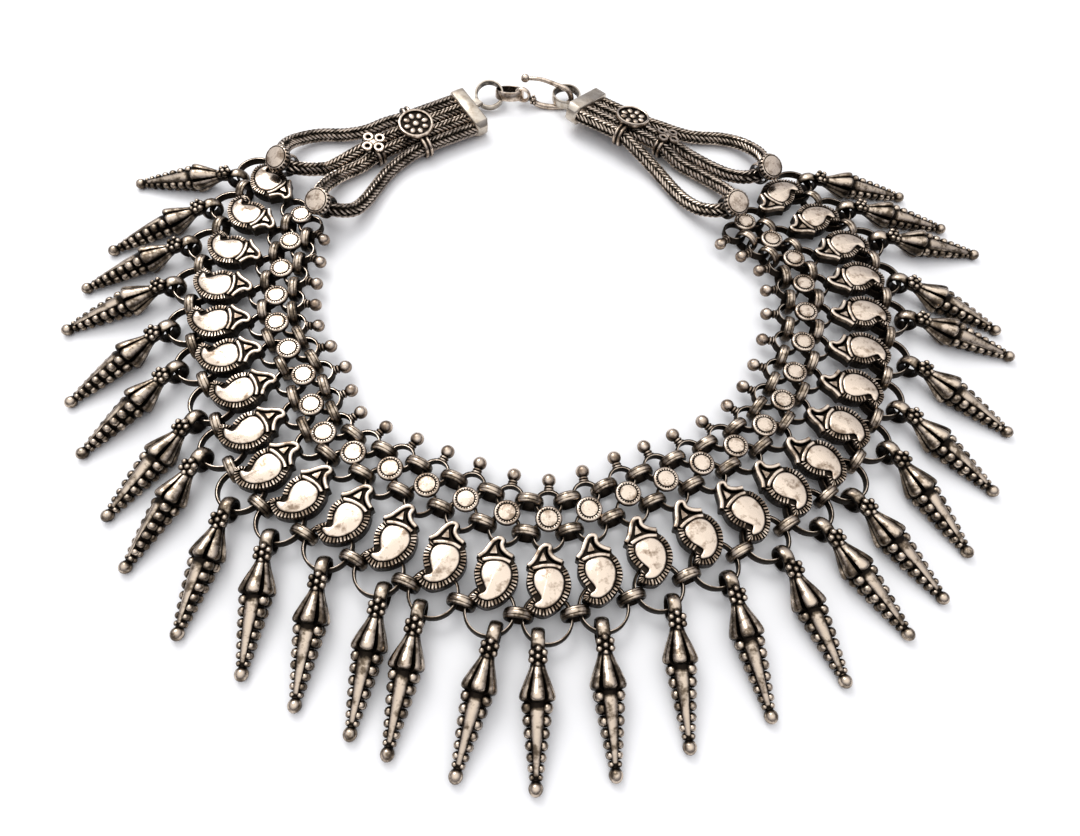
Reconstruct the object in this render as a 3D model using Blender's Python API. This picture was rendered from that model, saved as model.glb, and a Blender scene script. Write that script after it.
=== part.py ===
# Bib necklace in oxidised silver: a collar of 29 hinged columns with a fringe of 29 drops, closed at the
# back by four loops of woven chain, two end caps and a hook. It lies flat on a surface, clasp fastened.
# Every length is in metres. +Z is up, -Y is the front, where the fringe points.
import math

import bmesh
import bpy
from mathutils import Matrix, Vector

MM = 0.001

# Shared sizes
GAP = 0.3 * MM                # free space between neighbouring pieces
MERGE = 0.02 * MM             # vertices closer than this are one
FLAT_ANGLE = math.radians(2)  # faces that turn less than this are one
RING_SIDES = 10               # sides of a collar ring, a bail or a round plate
DROP_SIDES = 6                # one side for each petal of a drop

# Collar columns: heights of the band rings, and each ring's place outward from the disc
BAND_BOTTOM = 2.5 * MM
BAND_HEIGHT = 2.2 * MM
BAND_WALL = 0.5 * MM
UPPER_RING_RADIUS = 3.4 * MM
UPPER_RING_OUT = -4.1 * MM
MIDDLE_RING_RADIUS = 3.9 * MM
MIDDLE_RING_OUT = 3.65 * MM
LOWER_RING_RADIUS = 5.75 * MM
LOWER_RING_OUT = 22.4 * MM
DISC_RADIUS = 2.85 * MM
DISC_TOP = 5.8 * MM
PAISLEY_TOP = 6.6 * MM
BALL_RADIUS = 1.65 * MM
BALL_OUT = -10.2 * MM
BALL_SIDES = 6
NECK_RADIUS = 0.8 * MM

# Outline of the paisley plate: sideways, outward from the disc's centre
PAISLEY_OUTLINE = [
    (-0.2, 6.1), (3.4, 10.5), (4.9, 13.8), (4.6, 17.5), (2.4, 20.5), (-1.2, 22.2), (-4.5, 20.3),
    (-3.3, 17.9), (-4.6, 14.4), (-4.6, 11.3),
]

# Every second column of the collar: x and y in millimetres, heading in degrees, 0 pointing to the front
COLLAR_ROUTE = [
    (-74.5, 43.5, -137), (-77, 24.5, -111), (-75.5, 7, -88), (-66.5, -8.5, -70), (-59.5, -24.5, -50),
    (-43, -33.5, -33), (-25, -41, -16), (-6, -45.5, -1), (12.5, -39, 15), (30.5, -31, 36),
    (47, -20.5, 52), (57, -5, 73), (63, 14, 89), (62.5, 32, 108), (50.5, 45, 133),
]
LEFT_COLUMN_COUNT = 15        # columns in the left half of the collar

# A hinge block stands in for the upright link between two middle rings
HINGE_WIDTH = 2.1 * MM
HINGE_HEIGHT = 7.2 * MM

# Drops: the bail hangs on the lower ring, the body slopes down to its tip ball
BAIL_RADIUS = 3.1 * MM
BAIL_HOLE = 2.0 * MM
BAIL_WIDTH = 2.6 * MM
BAIL_HEIGHT = 3.4 * MM        # the bail's centre above the surface
BODY_START_HEIGHT = 5.3 * MM  # the body's axis above the surface, at the bail's centre
BODY_SLOPE = math.radians(7.9)
# Turned profile of a drop: distance along the body, radius
DROP_PROFILE = [(2.3, 1.6), (12.2, 3.8), (13.2, 2.7), (27, 1.0), (28.5, 1.5), (29.8, 0.9)]

# Each drop in order from the left end: heading in degrees, place of its bail round the lower ring in
# degrees from the column's heading, and the bail's distance from the ring's centre in millimetres
DROPS = [
    (-88.1, 67, 5.4), (-60, 33, 5.5), (-61.5, 18, 5.5), (-62.6, 10, 5.5), (-44.5, 12, 5.4),
    (-39.6, 11, 5.5), (-33.8, 37, 6), (-25.6, 4, 5.45), (-13.1, 26, 5.2), (-3.6, 22, 5.1),
    (-5.4, 28, 5.1), (-8.6, 38, 5.2), (-9.2, -18, 5.1), (-14.1, 20, 5.1), (-0.6, -22, 5.2),
    (3.9, -12, 5), (3.2, 18, 5.2), (12.5, 10, 5.1), (20.9, 3, 5.8), (34.4, -13, 5),
    (36.6, -34, 5.1), (30.3, -3, 5.6), (43.8, -24, 5.3), (51.3, -15, 5.9), (70.1, -3, 5.4),
    (60.8, -16, 5.3), (84.7, 3, 5.4), (81.2, -9, 5.5), (84.1, -17, 5.5),
]

# Woven strands, four side by side at each end cap
STRAND_RADIUS = 1.85 * MM
STRAND_PITCH = 4.05 * MM
STRAND_HEIGHT = 3.3 * MM
STRAND_TURN = math.radians(40)   # a stretch that turns more than this gets a point between

# Each end of the necklace: the cap, the two clamps and the free part of both loops, in millimetres and
# degrees. A heading points from the cap along the strands; side tells on which hand the front strand lies.
LEFT_END = {
    "side": 1, "roll": -8,
    "cap": (-29.8, 87.3, 215.5), "rosette": (-45.2, 78.1, 211), "flower": (-57.1, 70.7, 218.5),
    "loop_a": [
        (-54.4, 81.6, 4.3), (-60.4, 79.2, 3.2), (-66.8, 78.2, 2.5), (-74.3, 77.6, 2.6), (-80, 74.8, 3.4),
        (-82.8, 70.8, 4.8), (-82.9, 66, 6.1), (-80.3, 60.8, 6.6), (-76.6, 60.2, 6), (-72.4, 61.9, 4.3),
        (-68.6, 64.7, 3),
    ],
    "loop_b": [
        (-60.4, 65.2, 2.9), (-65.3, 61.5, 3.1), (-68.4, 57.4, 4.1), (-70, 53, 5.4), (-70, 49, 6.3),
        (-67.4, 45.4, 6.6), (-63.8, 44.8, 5.9), (-60.2, 46.9, 4.3), (-57.6, 51.6, 3.1), (-55.4, 57, 2.6),
        (-52.6, 62.8, 2.5), (-48.2, 68.4, 2.7),
    ],
}
RIGHT_END = {
    "side": -1, "roll": 12,
    "cap": (6.4, 91, -40.5), "rosette": (19.6, 82.2, -33.5), "flower": (30, 76, -43),
    "loop_a": [
        (29.2, 84.8, 3.1), (38.2, 81.9, 2.4), (47.9, 81.3, 2.3), (53.6, 79, 2.9), (57.4, 75, 4),
        (59, 70.4, 5.4), (58.7, 66.4, 6.4), (56.7, 62.7, 6.7), (53.1, 61.6, 6.1), (48.8, 63.9, 4.3),
        (43.7, 68.2, 3), (37.7, 73, 2.8),
    ],
    "loop_b": [
        (34.2, 69.6, 2.8), (40.1, 65, 2.8), (44.8, 60.6, 3.4), (47.4, 56.3, 4.8), (48.1, 52, 6.2),
        (45.5, 48.9, 6.6), (42.2, 48.4, 5.9), (38.2, 50.6, 4.2), (34.6, 54.6, 3), (31.4, 59.4, 2.6),
        (27, 66, 3.2), (21.6, 72.2, 4.8),
    ],
}
APEX_A = {"left": 7, "right": 7}   # the point of each loop that carries its stud
APEX_B = {"left": 5, "right": 5}

# Studs: a band round the loop's bend and a drum that looks outward and up
STUD_RADIUS = 3.9 * MM
STUD_LENGTH = 3.0 * MM
STUD_BASE_RADIUS = 3.1 * MM
STUD_SHOULDER = 0.9 * MM
STUD_TILT = math.radians(60)
STUD_BAND_WALL = 0.5 * MM
STUD_BAND_WIDTH = 2.2 * MM
STUD_BAND_PLAY = 1.0 * MM

# Clamps and caps
CLAMP_WALL = 0.6 * MM
CLAMP_LENGTH = 2.6 * MM
CLAMP_PLAY = 0.6 * MM
ROSETTE_RADIUS = 4.6 * MM
ROSETTE_THICKNESS = 1.5 * MM
FLOWER_REACH = 3.4 * MM
FLOWER_THICKNESS = 1.1 * MM
CAP_THICKNESS = 4.4 * MM
CAP_MARGIN = 0.6 * MM
CAP_HEIGHT = 6.0 * MM
CAP_BEVEL = 0.8 * MM
LUG_WIDTH = 3.0 * MM
LUG_SHARE = 0.7               # a lug's foot lies this share of the way from the cap's middle to its ring's line

# Clasp: three band rings and the hook, places in millimetres
CLASP_RING_RADIUS = 4.5 * MM
CLASP_RING_HEIGHT = 2.0 * MM
ROUND_SIDES = 12
CLASP_RING_TILT = 25
CLASP_RING_1 = (-23.8, 96.6, 2.9)
CLASP_RING_2 = (-17.4, 97.6, 2.9)
CLASP_RING_3 = (0.5, 97, 3.3)
HOOK_RADIUS = 0.8 * MM
HOOK_TURN = math.radians(60)
HOOK_BALL_RADIUS = 1.4 * MM
HOOK_EYE_HOLE = 1.6 * MM
HOOK_EYE_PLACE = -14          # degrees round the second ring
HOOK_ROUTE = [
    (-8.8, 95.6, 1.5), (-5.8, 95.2, 0.95), (-2.2, 95.2, 0.9), (0.6, 95.7, 1.4), (2, 96.5, 3.2),
    (0.6, 97.6, 5.4), (-3, 98.8, 6.3), (-7.6, 100.2, 6.9), (-12.6, 100.7, 6.8),
]

SILVER = (0.62, 0.58, 0.52)
DARK_SILVER = (0.3, 0.28, 0.25)
METALLIC = 1.0
ROUGHNESS = 0.35


def clear_scene():
    for thing in list(bpy.data.objects):
        bpy.data.objects.remove(thing, do_unlink=True)


def make_material(name, colour):
    material = bpy.data.materials.new(name)
    material.use_nodes = True
    shader = material.node_tree.nodes["Principled BSDF"]
    shader.inputs["Base Color"].default_value = (*colour, 1)
    shader.inputs["Metallic"].default_value = METALLIC
    shader.inputs["Roughness"].default_value = ROUGHNESS
    return material


def add_object(name, mesh, material, matrix=None):
    thing = bpy.data.objects.new(name, mesh)
    bpy.context.scene.collection.objects.link(thing)
    if matrix is not None:
        thing.matrix_world = matrix
    mesh.materials.clear()
    mesh.materials.append(material)
    return thing


def mesh_from(build):
    """A mesh whose faces all point out, made by a function that fills a bmesh."""
    bm = bmesh.new()
    build(bm)
    bmesh.ops.recalc_face_normals(bm, faces=bm.faces)
    mesh = bpy.data.meshes.new("shape")
    bm.to_mesh(mesh)
    bm.free()
    return mesh


def add_prism(bm, outline, low, high):
    """A plate with the outline's points, which run round it, from one height to another."""
    bottom = [bm.verts.new((x, y, low)) for x, y in outline]
    top = [bm.verts.new((x, y, high)) for x, y in outline]
    bm.faces.new(list(reversed(bottom)))
    bm.faces.new(top)
    for i in range(len(outline)):
        j = (i + 1) % len(outline)
        bm.faces.new((bottom[i], bottom[j], top[j], top[i]))


def add_band(bm, section):
    """A band that is open through the middle: its section is a list of (outline, height) pairs."""
    loops = [[bm.verts.new((x, y, z)) for x, y in line] for line, z in section]
    count = len(loops[0])
    for first, second in zip(loops, loops[1:] + loops[:1]):
        for i in range(count):
            j = (i + 1) % count
            bm.faces.new((first[i], first[j], second[j], second[i]))


def circle(radius, sides, centre=(0, 0), turn=0.5):
    """Points of a circle whose flats and corners lie as far inside it as outside it."""
    reach = radius * 2 / (1 + math.cos(math.pi / sides))
    angles = [2 * math.pi * (i + turn) / sides for i in range(sides)]
    return [(centre[0] + reach * math.cos(a), centre[1] + reach * math.sin(a)) for a in angles]


def add_ring(bm, radius, hole, sides, low, high):
    """A flat band ring."""
    outer = circle(radius, sides)
    inner = circle(hole, sides)
    add_band(bm, [(outer, low), (outer, high), (inner, high), (inner, low)])


def add_ribbed_ring(bm, face, rib, sides, low, high, centre=(0, 0)):
    """A ring with a full-height face on one radius and a rib on the other."""
    flat = circle(face, sides, centre)
    edge = circle(rib, sides, centre)
    add_band(bm, [(flat, low), (flat, high), (edge, (low + high) / 2)])


def add_turned(bm, profile, sides, matrix, turn=0.5):
    """A solid turned about X: (distance, radius) pairs, moved by the matrix."""
    loops = []
    for along, radius in profile:
        points = circle(radius, sides, turn=turn)
        loops.append([bm.verts.new(matrix @ Vector((along, y, z))) for y, z in points])
    bm.faces.new(loops[0])
    bm.faces.new(loops[-1])
    for first, second in zip(loops, loops[1:]):
        for i in range(sides):
            j = (i + 1) % sides
            bm.faces.new((first[i], first[j], second[j], second[i]))


def evaluated_mesh(thing):
    bpy.context.view_layer.update()
    return bpy.data.meshes.new_from_object(thing.evaluated_get(bpy.context.evaluated_depsgraph_get()))


def union(first, second):
    """One closed body from two meshes that overlap."""
    base = bpy.data.objects.new("union_base", first)
    other = bpy.data.objects.new("union_other", second)
    for thing in (base, other):
        bpy.context.scene.collection.objects.link(thing)
    modifier = base.modifiers.new("Union", "BOOLEAN")
    modifier.operation = "UNION"
    modifier.object = other
    mesh = evaluated_mesh(base)
    for thing in (base, other):
        bpy.data.objects.remove(thing, do_unlink=True)
    return mesh


def simplified(mesh):
    """The same solid with coplanar faces joined and stray points closed up."""
    bm = bmesh.new()
    bm.from_mesh(mesh)
    bmesh.ops.remove_doubles(bm, verts=bm.verts, dist=MERGE)
    bmesh.ops.dissolve_limit(bm, angle_limit=FLAT_ANGLE, verts=bm.verts, edges=bm.edges)
    bmesh.ops.triangulate(bm, faces=bm.faces)
    bm.to_mesh(mesh)
    bm.free()
    return mesh


def joined_copies(mesh, matrices):
    """Copies of a mesh that lie apart, in one mesh."""
    bm = bmesh.new()
    for matrix in matrices:
        piece = mesh.copy()
        piece.transform(matrix)
        bm.from_mesh(piece)
        bpy.data.meshes.remove(piece)
    joined = bpy.data.meshes.new("joined")
    bm.to_mesh(joined)
    bm.free()
    return joined


def column_places():
    """Matrices of all the columns: X is sideways, -Y is outward. Even ones lie between their neighbours."""
    odd = COLLAR_ROUTE
    first = tuple(2 * odd[0][k] - odd[1][k] for k in range(3))
    last = tuple(2 * odd[-1][k] - odd[-2][k] for k in range(3))
    padded = [first] + odd + [last]
    rows = []
    for i in range(1, len(odd) + 1):
        rows.append(padded[i])
        if i < len(odd):
            a, b, c, d = padded[i - 1:i + 3]
            rows.append(tuple((9 * (b[k] + c[k]) - a[k] - d[k]) / 16 for k in range(3)))
    return [Matrix.Translation((x * MM, y * MM, 0)) @ Matrix.Rotation(math.radians(heading), 4, "Z")
            for x, y, heading in rows]


def column_mesh():
    """Three band rings soldered under a ball, a disc and a paisley plate."""
    band_top = BAND_BOTTOM + BAND_HEIGHT

    def rings(bm):
        for radius, out in ((UPPER_RING_RADIUS, UPPER_RING_OUT), (MIDDLE_RING_RADIUS, MIDDLE_RING_OUT),
                            (LOWER_RING_RADIUS, LOWER_RING_OUT)):
            add_ribbed_ring(bm, radius, radius - BAND_WALL, RING_SIDES, BAND_BOTTOM, band_top, (0, -out))

    def plates(bm):
        add_prism(bm, circle(DISC_RADIUS, RING_SIDES, turn=0), BAND_BOTTOM, DISC_TOP)
        outline = [(side * MM, -out * MM) for side, out in PAISLEY_OUTLINE]
        add_prism(bm, outline, BAND_BOTTOM, PAISLEY_TOP)
        middle = BAND_BOTTOM + BAND_HEIGHT / 2
        axis = Matrix.Translation((0, -BALL_OUT, middle)) @ Matrix.Rotation(math.radians(90), 4, "Z")
        ring_edge = BALL_OUT - (UPPER_RING_OUT - UPPER_RING_RADIUS) - BAND_WALL / 2
        profile = [(ring_edge, NECK_RADIUS), (-0.2 * BALL_RADIUS, BALL_RADIUS), (BALL_RADIUS, 0.5 * BALL_RADIUS)]
        add_turned(bm, profile, BALL_SIDES, axis)

    return simplified(union(mesh_from(rings), mesh_from(plates)))


def hinge_blocks(places, shortened):
    """Upright blocks between the middle rings of neighbouring columns; the last may end short of its ring."""
    def build(bm):
        centres = [place @ Vector((0, -MIDDLE_RING_OUT, 0)) for place in places]
        for i, (a, b) in enumerate(zip(centres, centres[1:])):
            heading = (b - a).normalized()
            side = Vector((-heading.y, heading.x, 0)) * HINGE_WIDTH / 2
            reach = MIDDLE_RING_RADIUS - BAND_WALL * 0.6
            start = a + heading * reach
            short = shortened and i == len(centres) - 2
            end = b - heading * (MIDDLE_RING_RADIUS * 1.03 + GAP if short else reach)
            outline = [(p.x, p.y) for p in (start - side, end - side, end + side, start + side)]
            add_prism(bm, outline, 0, HINGE_HEIGHT)
    return mesh_from(build)


def add_collar(places, silver):
    column = column_mesh()
    halves = (("collar_left", places[:LEFT_COLUMN_COUNT], places[:LEFT_COLUMN_COUNT + 1], True),
              ("collar_right", places[LEFT_COLUMN_COUNT:], places[LEFT_COLUMN_COUNT:], False))
    for name, own, linked, shortened in halves:
        mesh = union(joined_copies(column, own), hinge_blocks(linked, shortened))
        add_object(name, simplified(mesh), silver)


def drop_mesh():
    """A bail and a petalled body that slopes down along -Y, with the bail's centre at the origin."""
    def bail(bm):
        add_ribbed_ring(bm, BAIL_HOLE, BAIL_RADIUS, RING_SIDES, -BAIL_WIDTH / 2, BAIL_WIDTH / 2)
        bmesh.ops.rotate(bm, matrix=Matrix.Rotation(math.radians(90), 3, "Y"), verts=bm.verts)

    def body(bm):
        axis = (Matrix.Translation((0, 0, BODY_START_HEIGHT - BAIL_HEIGHT))
                @ Matrix.Rotation(math.radians(-90), 4, "Z") @ Matrix.Rotation(BODY_SLOPE, 4, "Y"))
        add_turned(bm, [(along * MM, radius * MM) for along, radius in DROP_PROFILE], DROP_SIDES, axis, 0)

    return simplified(union(mesh_from(bail), mesh_from(body)))


def add_drops(places, silver):
    mesh = drop_mesh()
    for number, (place, (heading, round_ring, out)) in enumerate(zip(places, DROPS), 1):
        around = math.radians(round_ring)
        centre = place @ Vector((math.sin(around) * out * MM, -LOWER_RING_OUT - math.cos(around) * out * MM, 0))
        matrix = (Matrix.Translation((centre.x, centre.y, BAIL_HEIGHT))
                  @ Matrix.Rotation(math.radians(heading), 4, "Z"))
        add_object("drop_%02d" % number, mesh.copy(), silver, matrix)


def row_frame(end, name):
    """Frame of a cap or a clamp: X along the strands, Y across them to the front, Z up."""
    x, y, heading = end[name]
    roll = math.radians(end["roll"]) * end["side"]
    lift = abs(math.sin(roll)) * STRAND_PITCH * (1 if name == "flower" else 2)
    return (Matrix.Translation((x * MM, y * MM, STRAND_HEIGHT + lift))
            @ Matrix.Rotation(math.radians(heading), 4, "Z") @ Matrix.Rotation(roll, 4, "X"))


def row_point(end, name, strand, along=0):
    """The centre of a strand, counted from the back, where it passes a cap or a clamp."""
    across = (strand - 1.5) * STRAND_PITCH * end["side"]
    return row_frame(end, name) @ Vector((along, across, 0))


def free_points(end, name):
    return [Vector(point) * MM for point in end[name]]


def loop_points(end, name):
    """All the chosen points of one loop, from the cap round its bend and back to the cap."""
    short = CAP_THICKNESS / 2 + GAP
    outer, inner = (0, 1) if name == "loop_a" else (3, 2)
    out_row = [row_point(end, "cap", outer, short), row_point(end, "rosette", outer)]
    back_row = [row_point(end, "flower", inner), row_point(end, "rosette", inner),
                row_point(end, "cap", inner, short)]
    middle = free_points(end, name)
    if name == "loop_b":
        middle.reverse()
    return out_row + middle + back_row


def smooth_points(points, turn):
    """The points of a smooth curve through the chosen ones, with more between where it turns enough."""
    padded = [points[0] * 2 - points[1]] + points + [points[-1] * 2 - points[-2]]
    curve = []
    for i in range(1, len(padded) - 2):
        a, b, c, d = padded[i - 1:i + 3]
        steps = 1 + int((c - a).angle(d - b) / turn)
        for k in range(steps):
            t = k / steps
            curve.append(0.5 * (2 * b + (c - a) * t + (2 * a - 5 * b + 4 * c - d) * t * t
                                + (3 * b - a - 3 * c + d) * t ** 3))
    curve.append(points[-1])
    return curve


def add_tube(name, points, radius, material):
    """A round tube along the points, closed at both ends."""
    curve = bpy.data.curves.new(name, "CURVE")
    curve.dimensions = "3D"
    curve.bevel_depth = radius
    curve.bevel_resolution = 2
    curve.use_fill_caps = True
    spline = curve.splines.new("POLY")
    spline.points.add(len(points) - 1)
    for place, point in zip(spline.points, points):
        place.co = (*point, 1)
    thing = bpy.data.objects.new(name, curve)
    bpy.context.scene.collection.objects.link(thing)
    curve.materials.append(material)
    return thing


def add_strands(ends, dark):
    for side, end in ends.items():
        for name in ("loop_a", "loop_b"):
            curve = smooth_points(loop_points(end, name), STRAND_TURN)
            add_tube("strand_" + side + "_" + name[-1], curve, STRAND_RADIUS, dark)


def stud_mesh():
    """A band round X with the drum standing on it, at the stud's tilt, towards -Y and up."""
    hole = STRAND_RADIUS + STUD_BAND_PLAY
    outer = hole + STUD_BAND_WALL

    def band(bm):
        add_ribbed_ring(bm, hole, outer, RING_SIDES, -STUD_BAND_WIDTH / 2, STUD_BAND_WIDTH / 2)
        bmesh.ops.rotate(bm, matrix=Matrix.Rotation(math.radians(90), 3, "Y"), verts=bm.verts)

    def drum(bm):
        axis = Matrix.Rotation(math.radians(-90), 4, "Z") @ Matrix.Rotation(-STUD_TILT, 4, "Y")
        base = outer - STUD_BAND_WALL / 2
        add_turned(bm, [(base, STUD_BASE_RADIUS), (base + STUD_SHOULDER, STUD_RADIUS),
                        (base + STUD_LENGTH, STUD_RADIUS)], RING_SIDES, axis)

    return simplified(union(mesh_from(band), mesh_from(drum)))


def add_studs(ends, silver):
    mesh = stud_mesh()
    for side, end in ends.items():
        for name, apex in (("loop_a", APEX_A[side]), ("loop_b", APEX_B[side])):
            points = free_points(end, name)
            along = points[apex + 1] - points[apex - 1]
            heading = math.atan2(along.y, along.x)
            matrix = Matrix.Translation(points[apex]) @ Matrix.Rotation(heading, 4, "Z")
            outward = matrix.to_3x3() @ Vector((0, -1, 0))
            inside = points[0] - points[apex]
            if outward.dot(inside) > 0:
                matrix = matrix @ Matrix.Rotation(math.pi, 4, "Z")
            add_object("stud_" + side + "_" + name[-1], mesh.copy(), silver, matrix)


def clamp_mesh(strands, plate_outline, plate_thickness):
    """A flat band round some strands with an ornament plate on top."""
    half_width = (strands - 1) * STRAND_PITCH / 2 + STRAND_RADIUS + CLAMP_PLAY
    half_height = STRAND_RADIUS + CLAMP_PLAY

    def outline(extra):
        wide = half_width + extra
        tall = half_height + extra
        corner = 0.6 * STRAND_RADIUS
        return [(-wide, -tall + corner), (-wide + corner, -tall), (wide - corner, -tall), (wide, -tall + corner),
                (wide, tall - corner), (wide - corner, tall), (-wide + corner, tall), (-wide, tall - corner)]

    def band(bm):
        half = CLAMP_LENGTH / 2
        add_band(bm, [(outline(CLAMP_WALL), -half), (outline(CLAMP_WALL), half), (outline(0), half),
                      (outline(0), -half)])
        upright = Matrix.Rotation(math.radians(90), 3, "Z") @ Matrix.Rotation(math.radians(90), 3, "X")
        bmesh.ops.rotate(bm, matrix=upright, verts=bm.verts)

    def plate(bm):
        low = half_height + CLAMP_WALL / 2
        add_prism(bm, plate_outline, low, low + plate_thickness)

    return simplified(union(mesh_from(band), mesh_from(plate)))


def add_clamps(ends, silver):
    rosette = clamp_mesh(4, circle(ROSETTE_RADIUS, ROUND_SIDES), ROSETTE_THICKNESS)
    lobes = [(FLOWER_REACH * r * math.cos(math.radians(a)), FLOWER_REACH * r * math.sin(math.radians(a)))
             for r, a in [(1.15, 45 * i) if i % 2 else (0.75, 45 * i) for i in range(8)]]
    flower = clamp_mesh(2, lobes, FLOWER_THICKNESS)
    for side, end in ends.items():
        add_object("rosette_clamp_" + side, rosette.copy(), silver, row_frame(end, "rosette"))
        add_object("flower_clamp_" + side, flower.copy(), silver, row_frame(end, "flower"))


def clasp_ring(centre, tilt):
    """A clasp ring, leaning about the line of the clasp."""
    def build(bm):
        half = CLASP_RING_HEIGHT / 2
        add_ring(bm, CLASP_RING_RADIUS, CLASP_RING_RADIUS - BAND_WALL, ROUND_SIDES, -half, half)
    mesh = mesh_from(build)
    mesh.transform(Matrix.Translation(Vector(centre) * MM) @ Matrix.Rotation(math.radians(tilt), 4, "X"))
    return mesh


def cap_mesh(end, ring_centre, ring):
    """An end cap with the lug that carries its clasp ring."""
    frame = row_frame(end, "cap")
    length = 3 * STRAND_PITCH + 2 * STRAND_RADIUS + CAP_MARGIN

    def cap(bm):
        bmesh.ops.create_cube(bm, size=1)
        bmesh.ops.scale(bm, vec=(CAP_THICKNESS, length, CAP_HEIGHT), verts=bm.verts)
        bmesh.ops.bevel(bm, geom=bm.edges[:], offset=CAP_BEVEL, segments=1, affect="EDGES")
        bmesh.ops.transform(bm, matrix=frame, verts=bm.verts)

    def lug(bm):
        centre = Vector(ring_centre) * MM
        local = frame.inverted() @ centre
        foot = frame @ Vector((-CAP_THICKNESS / 2 + CAP_BEVEL, local.y * LUG_SHARE, 0))
        heading = (foot - centre)
        heading.z = 0
        heading.normalize()
        start = centre + heading * (CLASP_RING_RADIUS - BAND_WALL * 0.6)
        side = Vector((-heading.y, heading.x, 0)) * LUG_WIDTH / 2
        outline = [(p.x, p.y) for p in (start - side, foot - side, foot + side, start + side)]
        add_prism(bm, outline, centre.z - CLASP_RING_HEIGHT / 4, centre.z + CLASP_RING_HEIGHT / 4)

    return simplified(union(union(mesh_from(cap), mesh_from(lug)), ring))


def hook_mesh(dark):
    """The hook: an eye round the second ring and a wire that runs under, up through and back over the third."""
    around = math.radians(HOOK_EYE_PLACE)
    out = CLASP_RING_RADIUS - BAND_WALL / 2
    lean = Matrix.Rotation(math.radians(-CLASP_RING_TILT), 4, "X")
    centre = Vector(CLASP_RING_2) * MM + lean @ Vector((out * math.cos(around), out * math.sin(around), 0))
    route = [Vector(point) * MM for point in HOOK_ROUTE]
    start = route[0]
    heading = math.atan2(start.y - centre.y, start.x - centre.x)
    eye_out = HOOK_EYE_HOLE + HOOK_RADIUS
    drop = start.z - centre.z

    def eye(bm):
        add_ribbed_ring(bm, HOOK_EYE_HOLE, HOOK_EYE_HOLE + 1.4 * HOOK_RADIUS, RING_SIDES, -HOOK_RADIUS,
                        HOOK_RADIUS)
        bmesh.ops.rotate(bm, matrix=Matrix.Rotation(math.radians(90), 3, "X"), verts=bm.verts)
        bmesh.ops.transform(bm, matrix=Matrix.Translation(centre) @ Matrix.Rotation(heading, 4, "Z"),
                            verts=bm.verts)

    joint = centre + Vector((math.cos(heading), math.sin(heading), 0)) * eye_out + Vector((0, 0, 0.3 * drop))
    tube = add_tube("hook_wire", smooth_points([joint] + route, HOOK_TURN), HOOK_RADIUS, dark)
    wire = evaluated_mesh(tube)
    bpy.data.objects.remove(tube, do_unlink=True)

    def ball(bm):
        along = (route[-1] - route[-2]).to_track_quat("X", "Z").to_matrix().to_4x4()
        r = HOOK_BALL_RADIUS
        add_turned(bm, [(-0.9 * r, 0.5 * r), (-0.35 * r, r), (0.35 * r, r), (0.9 * r, 0.5 * r)], BALL_SIDES,
                   Matrix.Translation(route[-1]) @ along)

    return simplified(union(union(wire, mesh_from(eye)), mesh_from(ball)))


def add_clasp(silver, dark):
    ring_1 = clasp_ring(CLASP_RING_1, CLASP_RING_TILT)
    ring_3 = clasp_ring(CLASP_RING_3, 0)
    add_object("end_cap_left", cap_mesh(LEFT_END, CLASP_RING_1, ring_1), silver)
    add_object("end_cap_right", cap_mesh(RIGHT_END, CLASP_RING_3, ring_3), silver)
    add_object("clasp_ring", clasp_ring(CLASP_RING_2, -CLASP_RING_TILT), dark)
    add_object("clasp_hook", hook_mesh(dark), silver)


def centre_on_footprint():
    """Move everything so that the origin is the middle of the footprint, on the surface."""
    bpy.context.view_layer.update()
    graph = bpy.context.evaluated_depsgraph_get()
    low = Vector((math.inf,) * 3)
    high = -low
    for thing in bpy.context.scene.objects:
        mesh = thing.evaluated_get(graph).to_mesh()
        for vertex in mesh.vertices:
            place = thing.matrix_world @ vertex.co
            low = Vector(map(min, low, place))
            high = Vector(map(max, high, place))
    shift = Vector(((low.x + high.x) / 2, (low.y + high.y) / 2, low.z))
    for thing in bpy.context.scene.objects:
        thing.location -= shift
    print("shift mm", [round(v / MM, 3) for v in shift], "size mm", [round(v / MM, 2) for v in high - low])


def main():
    clear_scene()
    silver = make_material("silver", SILVER)
    dark = make_material("dark_silver", DARK_SILVER)
    places = column_places()
    ends = {"left": LEFT_END, "right": RIGHT_END}
    add_collar(places, silver)
    add_drops(places, silver)
    add_strands(ends, dark)
    add_studs(ends, silver)
    add_clamps(ends, silver)
    add_clasp(silver, dark)
    centre_on_footprint()


main()
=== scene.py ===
"""Looks of the bib necklace: antique silver columns, links, drops, woven strands and clasp on a table."""
import math

import bmesh
import bpy
from mathutils import Matrix, Vector
from mathutils.bvhtree import BVHTree


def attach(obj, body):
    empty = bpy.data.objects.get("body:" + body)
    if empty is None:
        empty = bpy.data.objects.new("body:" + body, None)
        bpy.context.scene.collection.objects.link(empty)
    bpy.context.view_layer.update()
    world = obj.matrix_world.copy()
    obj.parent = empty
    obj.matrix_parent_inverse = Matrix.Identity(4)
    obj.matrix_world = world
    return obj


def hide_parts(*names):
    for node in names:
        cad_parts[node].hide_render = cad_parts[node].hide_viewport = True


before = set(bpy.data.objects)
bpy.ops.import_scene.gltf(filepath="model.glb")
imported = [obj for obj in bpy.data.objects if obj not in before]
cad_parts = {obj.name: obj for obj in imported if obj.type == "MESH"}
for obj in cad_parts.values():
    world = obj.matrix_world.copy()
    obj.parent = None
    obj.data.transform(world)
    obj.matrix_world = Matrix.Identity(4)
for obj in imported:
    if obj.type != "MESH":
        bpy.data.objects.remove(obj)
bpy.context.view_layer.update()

MM = 0.001
TO_FRAME = Vector((6.188, 0.138, 0)) * MM   # from the plan's origin to the middle of the footprint
SMOOTH_ANGLE = math.radians(38)
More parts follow.
